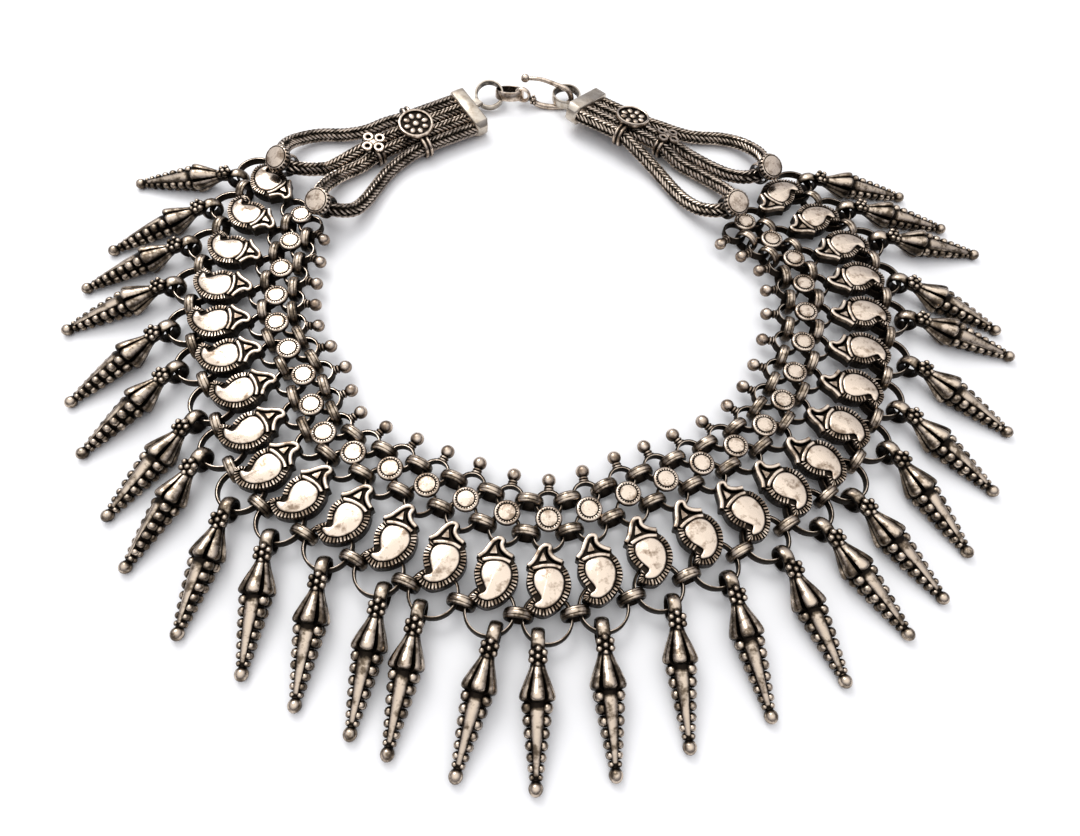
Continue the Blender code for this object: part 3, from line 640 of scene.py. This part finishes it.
def add_ball(bm):
    """The ball finial on its ringed neck."""
    centre, radius, rings = -10.2, 1.65, 8
    profile = [(-7.1, 0.7), (-7.25, 1.15), (-7.45, 1.3), (-7.65, 1.3), (-7.8, 1.05), (-8.0, 0.95),
               (-8.15, 1.12), (-8.4, 1.15), (-8.6, 0.95), (-8.75, 0.85)]
    oxide_and_shade = [0.8, 0.3, 0.1, 0.1, 0.7, 0.7, 0.15, 0.15, 0.6, 0.7] + [0.1] * (rings + 1)
    for k in range(rings, 0, -1):
        a = math.pi * (1 - k / (rings + 1)) * 0.93
        profile.append((centre + radius * math.cos(a), radius * math.sin(a)))
    profile.append((centre - radius, 0.2))
    turned(bm, profile, 18, shift(0, 0, BAND_MIDDLE) @ turn(-90, "Z"), oxide_and_shade=oxide_and_shade)


def column_shape(bm):
    add_band_rings(bm)
    add_disc(bm)
    add_paisley(bm)
    add_ball(bm)


def column_places():
    """Matrices of all the columns, in millimetres: X is sideways, -Y is outward."""
    odd = COLLAR_ROUTE
    first = tuple(2 * a - b for a, b in zip(odd[0], odd[1]))
    last = tuple(2 * a - b for a, b in zip(odd[-1], odd[-2]))
    padded = [first] + odd + [last]
    rows = []
    for i in range(1, len(odd) + 1):
        rows.append(padded[i])
        if i < len(odd):
            a, b, c, d = padded[i - 1:i + 3]
            rows.append(tuple((9 * (b[k] + c[k]) - a[k] - d[k]) / 16 for k in range(3)))
    return [shift(x, y) @ turn(heading, "Z") for x, y, heading in rows]


def link_shape(bm):
    """A ring that stands upright, turned about X: domed, with fine ridges round it."""
    half = [(2.35, 0.6), (2.45, 1.0), (2.7, 1.2), (3.0, 1.17), (3.2, 0.98), (3.32, 0.7), (3.31, 0.5),
            (3.41, 0.32)]
    # the inside of the ring is painted black: oxide and painted shade
    half_oxide_and_shade = [0.9, 0.9, 0.6, 0.22, 0.08, 0.02, 0.3, 0.05]
    section = [(radius, -along) for radius, along in half] + [(LINK_RADIUS, 0)] + half[::-1]
    ring(bm, section, 30, turn(90, "Y"), oxide_and_shade=half_oxide_and_shade + [0] + half_oxide_and_shade[::-1])


def link_places(places):
    """A link between neighbours at each of the three rows of rings."""
    found = []
    for _, out, _ in BAND_RINGS:
        centres = [place @ Vector((0, -out, LINK_RADIUS)) for place in places]
        for a, b in zip(centres, centres[1:]):
            heading = math.degrees(math.atan2((b - a).y, (b - a).x))
            middle = (a + b) / 2
            found.append(shift(*middle) @ turn(heading + 90, "Z"))
    return found


# Drops
# Beads beside the spines: place along the drop, radius
BEAD_PLACES = [
    (13.4, 1.3), (15.85, 1.24), (18.25, 1.16), (20.55, 1.06), (22.75, 0.95), (24.75, 0.84), (26.4, 0.66),
]
BEAD_ANGLES = (30, 150, 210, 330)
BEADS_FROM, BEADS_LONG = 13.3, 13.1
BEAD_REACH, BEAD_REACH_LESS = 2.35, 1.45     # from the drop's axis at the first bead; less at the last
# Along the drop: radius between the petals or spines, and at their middle
PETAL_STATIONS = [
    (4.6, 1.45, 1.5), (5.6, 1.5, 1.8), (6.8, 1.65, 2.3), (8.2, 1.95, 2.95), (9.5, 2.2, 3.5), (10.6, 2.4, 3.9),
    (11.3, 2.5, 4.05), (11.8, 2.5, 3.95), (12.15, 2.5, 3.55), (12.35, 2.5, 2.8),
]
SPINE_STATIONS = [
    (12.4, 2.15, 2.75), (14.0, 2.1, 2.82), (16.5, 1.85, 2.6), (18.5, 1.62, 2.35), (20.5, 1.4, 2.08),
    (22.5, 1.16, 1.78), (24.5, 0.92, 1.46), (26.0, 0.76, 1.18), (26.9, 0.7, 0.9),
]


NOTCH_FROM, NOTCH_END = 9.5, 12.3                       # the gaps between the petals' tips
NOTCH_LONG, NOTCH_DEPTH = 2.7, 1.5
PETAL_FULLNESS = 0.24                                   # less is fuller
SPINE_HALF_ANGLE = math.radians(46)
PETAL_OXIDE_AND_SHADE, SPINE_OXIDE_AND_SHADE = 0.8, 0.75                    # how black it is beside them: oxide and painted shade in the grooves


def drop_shape(roll):
    """A drop with its bail's centre at the origin, hanging along -Y, its body rolled about its own axis."""
    def build(bm):
        bail = [(2.02, -1.25), (2.25, -1.48), (2.65, -1.42), (2.95, -1.0), (3.1, -0.35), (3.1, 0.35),
                (2.95, 1.0), (2.65, 1.42), (2.25, 1.48), (2.02, 1.25)]
        ring(bm, bail, 28, turn(90, "Y"), oxide_and_shade=[0.9, 0.7, 0.35, 0.1, 0, 0, 0.1, 0.35, 0.7, 0.9])
        upright = shift(0, 0, BODY_START) @ turn(-90, "Z") @ Matrix.Rotation(BODY_SLOPE, 4, "Y")
        axis = upright @ turn(roll, "X")
        turned(bm, [(2.1, 1.0), (2.3, 1.55), (3.2, 1.65), (4.3, 1.55), (4.7, 1.4), (5.0, 1.3)], 16, upright,
               oxide_and_shade=[0.6, 0.4, 0.4, 0.5, 0.6, 0.7])
        sides = 48
        angles = [2 * math.pi * i / sides for i in range(sides)]

        def lobed(station, shaped):
            along, low, high = station
            points = []
            for a in angles:
                full = shaped(a)
                r = low + (high - low) * full
                back = 0
                if along < NOTCH_END:
                    back = NOTCH_DEPTH * max(0, (along - NOTCH_FROM) / NOTCH_LONG) * (1 - full)
                points.append(axis @ Vector((along - back, r * math.cos(a), r * math.sin(a))))
            return points

        def petals(a):
            return abs(math.cos(3 * (a - math.pi / 2))) ** PETAL_FULLNESS

        def spines(a):
            off = abs((a + math.pi) % math.pi - math.pi / 2)
            return math.exp(-(off / SPINE_HALF_ANGLE) ** 4)

        between_petals = [PETAL_OXIDE_AND_SHADE * (1 - petals(a)) for a in angles]
        between_spines = [SPINE_OXIDE_AND_SHADE * (1 - spines(a)) for a in angles]
        petal_loops = [lobed(s, petals) for s in PETAL_STATIONS]
        spine_loops = [lobed(s, spines) for s in SPINE_STATIONS]
        skin(bm, petal_loops + spine_loops,
             oxide_and_shade=[0.6] + [between_petals] * 7 + [0.5, 0.9, 0.7] + [between_spines] * 8)
        for along, size in BEAD_PLACES:
            reach = BEAD_REACH - BEAD_REACH_LESS * (along - BEADS_FROM) / BEADS_LONG
            for angle in BEAD_ANGLES:
                a = math.radians(angle)
                granule(bm, (along, reach * math.cos(a), reach * math.sin(a)), (size, size, size), axis)
        tip = [(26.7, 0.85), (26.95, 1.0), (27.15, 0.85), (27.4, 1.05), (27.8, 1.35), (28.3, 1.5),
               (28.8, 1.46), (29.3, 1.25), (29.75, 0.85), (30.0, 0.3)]
        turned(bm, tip, 16, upright, oxide_and_shade=[0.7, 0.3, 0.7, 0.3, 0, 0, 0, 0, 0, 0])
        pad = upright @ shift(3.3, 0, 1.15) @ turn(6, "Y")
        granule(bm, (0, 0, 0), (1.9, 1.9, 0.5), pad, 14, 6)
        granule(bm, (0, 0, 0.5), (0.74, 0.74, 0.74), pad)
        for k in range(6):
            a = math.radians(60 * k)
            granule(bm, (1.5 * math.cos(a), 1.5 * math.sin(a), 0.32), (0.78, 0.78, 0.78), pad)
    return shape(build)


def drop_places(places):
    """Matrices of the drops' bails on the lower rings."""
    found = []
    lower_out = BAND_RINGS[2][1]
    for place, (heading, round_ring, out, _) in zip(places, DROPS):
        a = math.radians(round_ring)
        centre = place @ Vector((math.sin(a) * out, -lower_out - math.cos(a) * out, 0))
        found.append(shift(centre.x, centre.y, BAIL_HEIGHT) @ turn(heading, "Z"))
    return found


# Woven strands, clamps, studs and caps
def row_frame(end, name):
    """Frame of a cap or a clamp: X along the strands, Y across them, Z up."""
    x, y, heading = end[name]
    roll = end["roll"] * end["side"]
    lift = abs(math.sin(math.radians(roll))) * STRAND_PITCH * (1 if name == "flower" else 2)
    return shift(x, y, STRAND_HEIGHT + lift) @ turn(heading, "Z") @ turn(roll, "X")


def row_point(end, name, strand, along=0.0):
    across = (strand - MIDDLE_STRAND) * STRAND_PITCH * end["side"]
    return row_frame(end, name) @ Vector((along, across, 0))


def loop_route(end, name):
    """All the points of one loop, from its cap round the bend and back."""
    short = CAP_THICKNESS / 2 - 0.2
    outer, inner = (0, 1) if name == "loop_a" else (3, 2)
    middle = [Vector(p) for p in end[name]]
    if name == "loop_b":
        middle.reverse()
    return ([row_point(end, "cap", outer, short), row_point(end, "rosette", outer)] + middle
            + [row_point(end, "flower", inner), row_point(end, "rosette", inner),
               row_point(end, "cap", inner, short)])


def weave_row(bm):
    """One row of the herringbone: six slanted wire loops round the chain, about Z."""
    for k in range(6):
        lean = 1 if k % 2 else -1
        start = math.radians(60 * k + (-7 if lean > 0 else 67))
        route = []
        for t, r in ((0, 1.3), (0.14, 1.56), (0.34, 1.69), (0.6, 1.7), (0.84, 1.6), (1, 1.3)):
            a = start + lean * math.radians(WIRE_SPAN) * t
            along = WIRE_LONG * (t - 0.5) + lean * WIRE_LATER
            route.append(Vector((r * math.cos(a), r * math.sin(a), along)))
        tube(bm, route, [0.17, 0.27, 0.31, 0.31, 0.27, 0.17], 7, oxide_and_shade=[0.9, 0.4, 0, 0, 0.4, 0.9])


def add_strands(end_name, end):
    row = add_object("row", finished(shape(weave_row)), WOVEN)
    for name in ("loop_a", "loop_b"):
        line = smooth_line(loop_route(end, name), 10)
        start = bpy.data.meshes.new("line")
        edges = [(i, i + 1) for i in range(len(line) - 1)]
        start.from_pydata([tuple(p * MM + TO_FRAME) for p in line], edges, [])
        label = "woven_strand_" + end_name + name[-2:]
        given = {"Row": row, "Step": ROW_STEP * MM, "Core": CORE_RADIUS * MM, "Finish": WOVEN}
        piece = grown(label, start, WEAVE, given)
        settled(piece, "woven_silver", "strand_" + end_name + name[-2:])
    bpy.data.objects.remove(row, do_unlink=True)


def stud_shape(bm):
    """A half-round band about X, with a short drum with a milled collar on it, towards -Y and up."""
    band = [(2.85, -1.0), (3.05, -1.1), (3.27, -0.7), (3.35, 0), (3.27, 0.7), (3.05, 1.1), (2.85, 1.0)]
    ring(bm, band, 32, turn(90, "Y"), oxide_and_shade=[0.7, 0.4, 0.1, 0, 0.1, 0.4, 0.7])
    axis = turn(-90, "Z") @ turn(-60, "Y")
    count = STUD_BARS * BAR_POINTS

    def loop(along, radius, cut=0.0, cut_along=0.0):
        points = []
        for i in range(count):
            deep = i % BAR_POINTS >= BAR_TOP
            r = radius - (cut if deep else 0)
            x = along - (cut_along if deep else 0)
            a = 2 * math.pi * i / count
            points.append(axis @ Vector((x, r * math.cos(a), r * math.sin(a))))
        return points

    cut = [0 if i % BAR_POINTS < BAR_TOP else 0.95 for i in range(count)]
    skin(bm, [
        loop(3.1, 2.9), loop(3.35, 3.3), loop(3.8, 3.55), loop(4.6, 3.6), loop(4.8, 3.8),
        loop(5.0, 3.85, 0.1), loop(5.25, 3.82, 0.35), loop(5.7, 3.6, 0.35, 0.2), loop(5.85, 3.4),
        loop(5.9, 3.2), loop(5.75, 3.1), loop(5.75, 3.0), loop(6.0, 2.88), loop(6.1, 1.5),
    ], oxide_and_shade=[0.8, 0.5, 0.4, 0.6, 0.2, cut, cut, cut, 0.1, 0, 0.95, 0.95, 0, 0])


def stud_place(end, name):
    points = [Vector(p) for p in end["loop_" + name]]
    apex = end["stud_" + name]
    along = points[apex + 1] - points[apex - 1]
    matrix = shift(*points[apex]) @ turn(math.degrees(math.atan2(along.y, along.x)), "Z")
    if (matrix.to_3x3() @ Vector((0, -1, 0))).dot(points[0] - points[apex]) > 0:
        matrix = matrix @ turn(180, "Z")
    return matrix


def clamp_band(bm, strands):
    """A band with two round ribs, laid about some strands."""
    room = 0.45
    corner = 2.0
    wide = (strands - 1) * STRAND_PITCH / 2 + STRAND_RADIUS + room - corner
    high = STRAND_RADIUS + room - corner
    around = []
    for sx, sy, start in ((1, 1, 0), (-1, 1, 90), (-1, -1, 180), (1, -1, 270)):
        for k in range(7):
            a = math.radians(start + 15 * k)
            around.append((sx * wide, sy * high, math.cos(a), math.sin(a)))
    section = [(0, -1.3), (0.45, -1.25), (0.72, -0.95), (0.75, -0.65), (0.6, -0.3), (0.3, -0.12), (0.3, 0.12),
               (0.6, 0.3), (0.75, 0.65), (0.72, 0.95), (0.45, 1.25), (0, 1.3)]
    loops = [[Vector((x, cx + (corner + out) * ca, cy + (corner + out) * sa)) for cx, cy, ca, sa in around]
             for out, x in section]
    skin(bm, loops, closed=True, oxide_and_shade=[0.9, 0.4, 0.1, 0, 0.3, 0.9, 0.9, 0.3, 0, 0.1, 0.4, 0.9])


def rosette_shape(bm):
    """The round plate with eight oval granules inside a raised rim, on its ribbed band."""
    clamp_band(bm, 4)
    sides = 48
    rim = [(4.8, 0), (5.16, 0.2), (5.2, 1.1), (5.05, 1.42), (4.75, 1.5), (4.48, 1.38), (4.35, 1.1),
           (4.3, 0.75), (1.5, 0.7)]
    angles = [2 * math.pi * i / sides for i in range(sides)]
    loops = [[Vector((r * math.cos(a), r * math.sin(a), PLATE_ABOVE + z)) for a in angles] for r, z in rim]
    skin(bm, loops, oxide_and_shade=[0.8, 0.4, 0.1, 0, 0, 0, 0.6, 0.95, 0.95])
    for k in range(8):
        granule(bm, (2.9, 0, PLATE_ABOVE + 0.78), (1.15, 0.94, 0.6), turn(45 * k, "Z"), 14, 8)
    granule(bm, (0, 0, PLATE_ABOVE + 0.78), (1.1, 1.1, 0.65), Matrix(), 14, 8)


def flower_shape(degrees):
    """Four round petals, each with a dark hollow, on a band round two strands."""
    def build(bm):
        clamp_band(bm, 2)
        for k in range(4):
            place = turn(degrees + 45 + 90 * k, "Z") @ shift(2.35, 0, PLATE_ABOVE)
            ring(bm, [(0.55, 0.25), (0.66, 0.8), (0.95, 0.95), (1.4, 0.9), (1.58, 0.6), (1.55, 0)], 20, place,
                 oxide_and_shade=[0.95, 0.4, 0, 0, 0.1, 0.6])
            granule(bm, (0, 0, 0.12), (0.68, 0.68, 0.1), place, 10, 4)
        granule(bm, (0, 0, PLATE_ABOVE + 0.5), (1.5, 1.5, 0.45), Matrix(), 16, 8)
    return build


def cap_shape(bm):
    """The end bar, with round edges and a broad facet at each end."""
    wide, tall = CAP_THICKNESS / 2, CAP_HEIGHT / 2
    corner = 0.5
    facet = [(1, 2.1), (0.985, 1.75), (0.83, 0.12), (0.81, 0)]   # share of the half length, how far inward
    loops = []
    for share, inward in [(-share, inward) for share, inward in facet] + facet[::-1]:
        loop = []
        for sx, sz, start in ((1, 1, 0), (-1, 1, 90), (-1, -1, 180), (1, -1, 270)):
            for k in range(4):
                a = math.radians(start + 30 * k)
                x = sx * (wide - corner - inward * 0.35) + corner * math.cos(a)
                z = sz * (tall - corner - inward * 0.75) + corner * math.sin(a)
                loop.append(Vector((x, share * CAP_LENGTH / 2, z)))
        loops.append(loop)
    skin(bm, loops, oxide_and_shade=[0.1, 0, 0, 0.1, 0.1, 0, 0, 0.1])


def clasp_section():
    half = CLASP_HEIGHT / 2
    inner, outer = CLASP_RADIUS - BAND_WALL - 0.1, CLASP_RADIUS
    lower = [(inner, -half + 0.15), (inner + 0.15, -half), (outer - 0.2, -half), (outer, -half + 0.3)]
    return lower + [(radius, -height) for radius, height in reversed(lower)]


def clasp_ring(number):
    """One of the clasp's rings, leaning about the line of the clasp."""
    centre, tilt = CLASP_RINGS[number]
    place = shift(*centre) @ turn(tilt, "X")

    def build(bm):
        ring(bm, clasp_section(), 44, place, oxide_and_shade=[0.5, 0.3, 0, 0.1, 0.1, 0, 0.2, 0.5])
    return build


def lug_shape(end, centre):
    """A short bridge from a cap to its clasp ring."""
    def build(bm):
        place = row_frame(end, "cap")
        local = place.inverted() @ centre
        foot = place @ Vector((-CAP_THICKNESS / 2 + 0.8, local.y * LUG_SHARE, 0))
        heading = Vector((foot.x - centre.x, foot.y - centre.y, 0)).normalized()
        start = centre + heading * (CLASP_RADIUS - 0.3)
        side = Vector((-heading.y, heading.x, 0)) * LUG_WIDTH / 2
        outline = [Vector((p.x, p.y)) for p in (start - side, foot - side, foot + side, start + side)]
        low, high = centre.z - LUG_THICKNESS / 2, centre.z + LUG_THICKNESS / 2
        rounding = 0.15
        narrow = inset(outline, rounding)
        skin(bm, [lifted(narrow, low), lifted(outline, low + rounding), lifted(outline, high - rounding),
                  lifted(narrow, high)], oxide_and_shade=[0.5, 0.3, 0.2, 0])
    return build


def moved(build, matrix):
    """The same shape, put in its place."""
    def place(bm):
        before = set(bm.verts)
        build(bm)
        bmesh.ops.transform(bm, matrix=matrix, verts=[v for v in bm.verts if v not in before])
    return place


def hook_shape(bm):
    """The hook: an eye on the second clasp ring, a collar with two granules, a bent wire and a ball end."""
    ring_centre, tilt = Vector(CLASP_RINGS[1][0]), CLASP_RINGS[1][1]
    a = math.radians(EYE_PLACE)
    out = CLASP_RADIUS - BAND_WALL / 2
    centre = ring_centre + turn(tilt, "X") @ Vector((out * math.cos(a), out * math.sin(a), 0))
    route = [Vector(p) for p in HOOK_ROUTE]
    heading = math.atan2(route[0].y - centre.y, route[0].x - centre.x)
    wire_turns = [2 * math.pi * k / 10 for k in range(10)]
    eye = [(EYE_RADIUS + 0.5 * math.cos(t), 0.75 * math.sin(t)) for t in wire_turns]
    ring(bm, eye, 26, shift(*centre) @ Matrix.Rotation(heading, 4, "Z") @ turn(90, "X"))
    away = Vector((math.cos(heading), math.sin(heading), 0)) * 2.5
    joint = centre + away + Vector((0, 0, 0.3 * (route[0].z - centre.z)))
    line = smooth_line([joint] + route, 7)
    last = len(line) - 1
    radii = []
    for i in range(last + 1):
        thinner = TAPER * max(0, i / last - TAPER_FROM) / (1 - TAPER_FROM)
        radii.append(HOOK_RADIUS * (0.98 - thinner))
    tube(bm, line, radii, 14)
    collar = shift(*joint.lerp(route[0], 0.45)) @ Matrix.Rotation(heading, 4, "Z")
    profile = [(-0.9, 0.8), (-0.75, 1.15), (-0.35, 1.25), (-0.1, 1.0), (0.1, 1.0), (0.35, 1.2), (0.7, 1.1),
               (0.85, 0.8)]
    turned(bm, profile, 18, collar, oxide_and_shade=[0.6, 0.1, 0, 0.7, 0.7, 0, 0.1, 0.6])
    for side in (-1, 1):
        granule(bm, (0, 0.75 * side, 1.05), (0.5, 0.5, 0.5), collar)
    granule(bm, route[-1], HOOK_BALL, Matrix(), 18, 12)


def plain_piece(name, build, material, matrix=None):
    """A piece that is made once, in its place."""
    mesh = oxidised_and_shaded(shape(moved(build, matrix) if matrix else build), side_shade=FITTING_SIDE_SHADE)
    mesh.transform(shift(*(TO_FRAME / MM)))
    return add_object(name, finished(mesh), material)


# The whole necklace
places = column_places()
column = finished(oxidised_and_shaded(shape(column_shape)))
settled(copies("columns_left", column, places[:LEFT_COLUMNS], POLISHED), "silver", "collar_left")
settled(copies("columns_right", column, places[LEFT_COLUMNS:], POLISHED), "silver", "collar_right")
links = finished(oxidised_and_shaded(shape(link_shape)))
settled(copies("link_rings", links, link_places(places), DARKER), "silver", "collar_left", "collar_right")

hung = drop_places(places)
for label, roll in (("spine_up", 0), ("part_rolled", 14), ("beads_up", 30), ("spine_front", -26)):
    chosen = [i for i, entry in enumerate(DROPS) if entry[3] == roll]
    mesh = finished(oxidised_and_shaded(drop_shape(roll), DROP_OCCLUSION_REACH, DROP_SIDE_SHADE))
    settled(copies("drops_" + label, mesh, [hung[i] for i in chosen], DARKER), "silver",
            *["drop_%02d" % (i + 1) for i in chosen])

for end_name, end in ENDS.items():
    add_strands(end_name, end)
    for name in ("a", "b"):
        stud = "stud_" + end_name + "_" + name
        settled(plain_piece(stud + "_drum", stud_shape, POLISHED, stud_place(end, name)), "silver", stud)
    settled(plain_piece("rosette_" + end_name, rosette_shape, POLISHED, row_frame(end, "rosette")), "silver",
            "rosette_clamp_" + end_name)
    settled(plain_piece("flower_" + end_name, flower_shape(end["flower_turn"]), POLISHED,
                        row_frame(end, "flower")), "silver",
            "flower_clamp_" + end_name)


def end_cap(end_name, ring_number):
    """A cap with its lug and clasp ring."""
    end = ENDS[end_name]
    centre = Vector(CLASP_RINGS[ring_number][0])

    def build(bm):
        moved(cap_shape, row_frame(end, "cap"))(bm)
        lug_shape(end, centre)(bm)
        clasp_ring(ring_number)(bm)
    return build


settled(plain_piece("cap_left", end_cap("left", 0), SMOOTH), "silver", "end_cap_left")
settled(plain_piece("cap_right", end_cap("right", 2), SMOOTH), "silver", "end_cap_right")
settled(plain_piece("middle_ring", clasp_ring(1), POLISHED), "silver", "clasp_ring")
settled(plain_piece("hook", hook_shape, POLISHED), "silver", "clasp_hook")


# Table, light and camera
def table_top():
    mesh = bpy.data.meshes.new("table")
    side = 3
    corners = [(-side, -side, 0), (side, -side, 0), (side, side, 0), (-side, side, 0)]
    mesh.from_pydata(corners, [], [(0, 1, 2, 3)])
    material = bpy.data.materials.new("white_table")
    material.use_nodes = True
    shader = material.node_tree.nodes["Principled BSDF"]
    shader.inputs["Base Color"].default_value = (0.93, 0.93, 0.94, 1)
    shader.inputs["Roughness"].default_value = 0.6
    shader.inputs["Specular IOR Level"].default_value = 0.25
    table = add_object("table_top", mesh, material)


WINDOW_PLACE = (-0.25, 0.45, 0.6)
WINDOW_SIZE, WINDOW_WATTS = 0.4, 2.2
ROOM_UP = (-0.05, 0.1, 0.99)                  # the brightest way
ROOM_STRENGTH = 1.5
ROOM_TONES = [(0, (0.1, 0.1, 0.11, 1)), (0.93, (1, 1, 1, 1)), (0.4, (0.28, 0.28, 0.31, 1))]


def window_light():
    """A soft light behind the clasp, towards the left, for the glints."""
    light = bpy.data.lights.new("window_light", "AREA")
    light.shape = "RECTANGLE"
    light.size = light.size_y = WINDOW_SIZE
    light.energy = WINDOW_WATTS
    lamp = bpy.data.objects.new("window_light", light)
    bpy.context.scene.collection.objects.link(lamp)
    lamp.location = WINDOW_PLACE
    lamp.rotation_euler = (-Vector(WINDOW_PLACE)).to_track_quat("-Z", "Y").to_euler()


def room_light():
    """A white light tent: bright above, grey to the sides, as the silver shows it."""
    world = bpy.data.worlds.new("studio_room")
    bpy.context.scene.world = world
    world.use_nodes = True
    tree = world.node_tree
    back = tree.nodes["Background"]
    way = node(tree, "ShaderNodeTexCoord")
    tilt = node(tree, "ShaderNodeVectorMath", operation="DOT_PRODUCT")
    tilt.inputs[1].default_value = ROOM_UP
    ramp = node(tree, "ShaderNodeValToRGB")
    tones = ramp.color_ramp.elements
    for number, (place, colour) in enumerate(ROOM_TONES):
        tone = tones[number] if number < 2 else tones.new(place)
        tone.position, tone.color = place, colour
    wired(tree, (way, "Generated", tilt, 0), (tilt, "Value", ramp, "Fac"), (ramp, "Color", back, "Color"))
    back.inputs["Strength"].default_value = ROOM_STRENGTH
    bpy.context.scene.view_settings.view_transform = "Standard"


CAMERA_TURN = (4, 61.7, 4.5)                  # degrees: heading, looking down, roll
CAMERA_PLACE = (-8.062, -109.052, 172.2)      # millimetres
CAMERA_LENS, CAMERA_SENSOR = 26, 36


def photo_camera():
    """The photo's camera, solved from its perspective."""
    heading, down, roll = (math.radians(angle) for angle in CAMERA_TURN)
    level = Vector((math.sin(heading), math.cos(heading), 0))
    forward = level * math.cos(down) - Vector((0, 0, math.sin(down)))
    right0 = Vector((math.cos(heading), -math.sin(heading), 0))
    up0 = right0.cross(forward)
    right = right0 * math.cos(roll) + up0 * math.sin(roll)
    up = up0 * math.cos(roll) - right0 * math.sin(roll)
    data = bpy.data.cameras.new("photo_camera")
    data.lens = CAMERA_LENS
    data.sensor_width = CAMERA_SENSOR
    data.clip_start, data.clip_end = 0.01, 10
    camera = bpy.data.objects.new("photo_camera", data)
    bpy.context.scene.collection.objects.link(camera)
    place = Matrix((right, up, -forward)).transposed().to_4x4()
    place.translation = Vector(CAMERA_PLACE) * MM
    camera.matrix_world = place
    bpy.context.scene.camera = camera


table_top()
window_light()
room_light()
photo_camera()

bpy.context.view_layer.update()
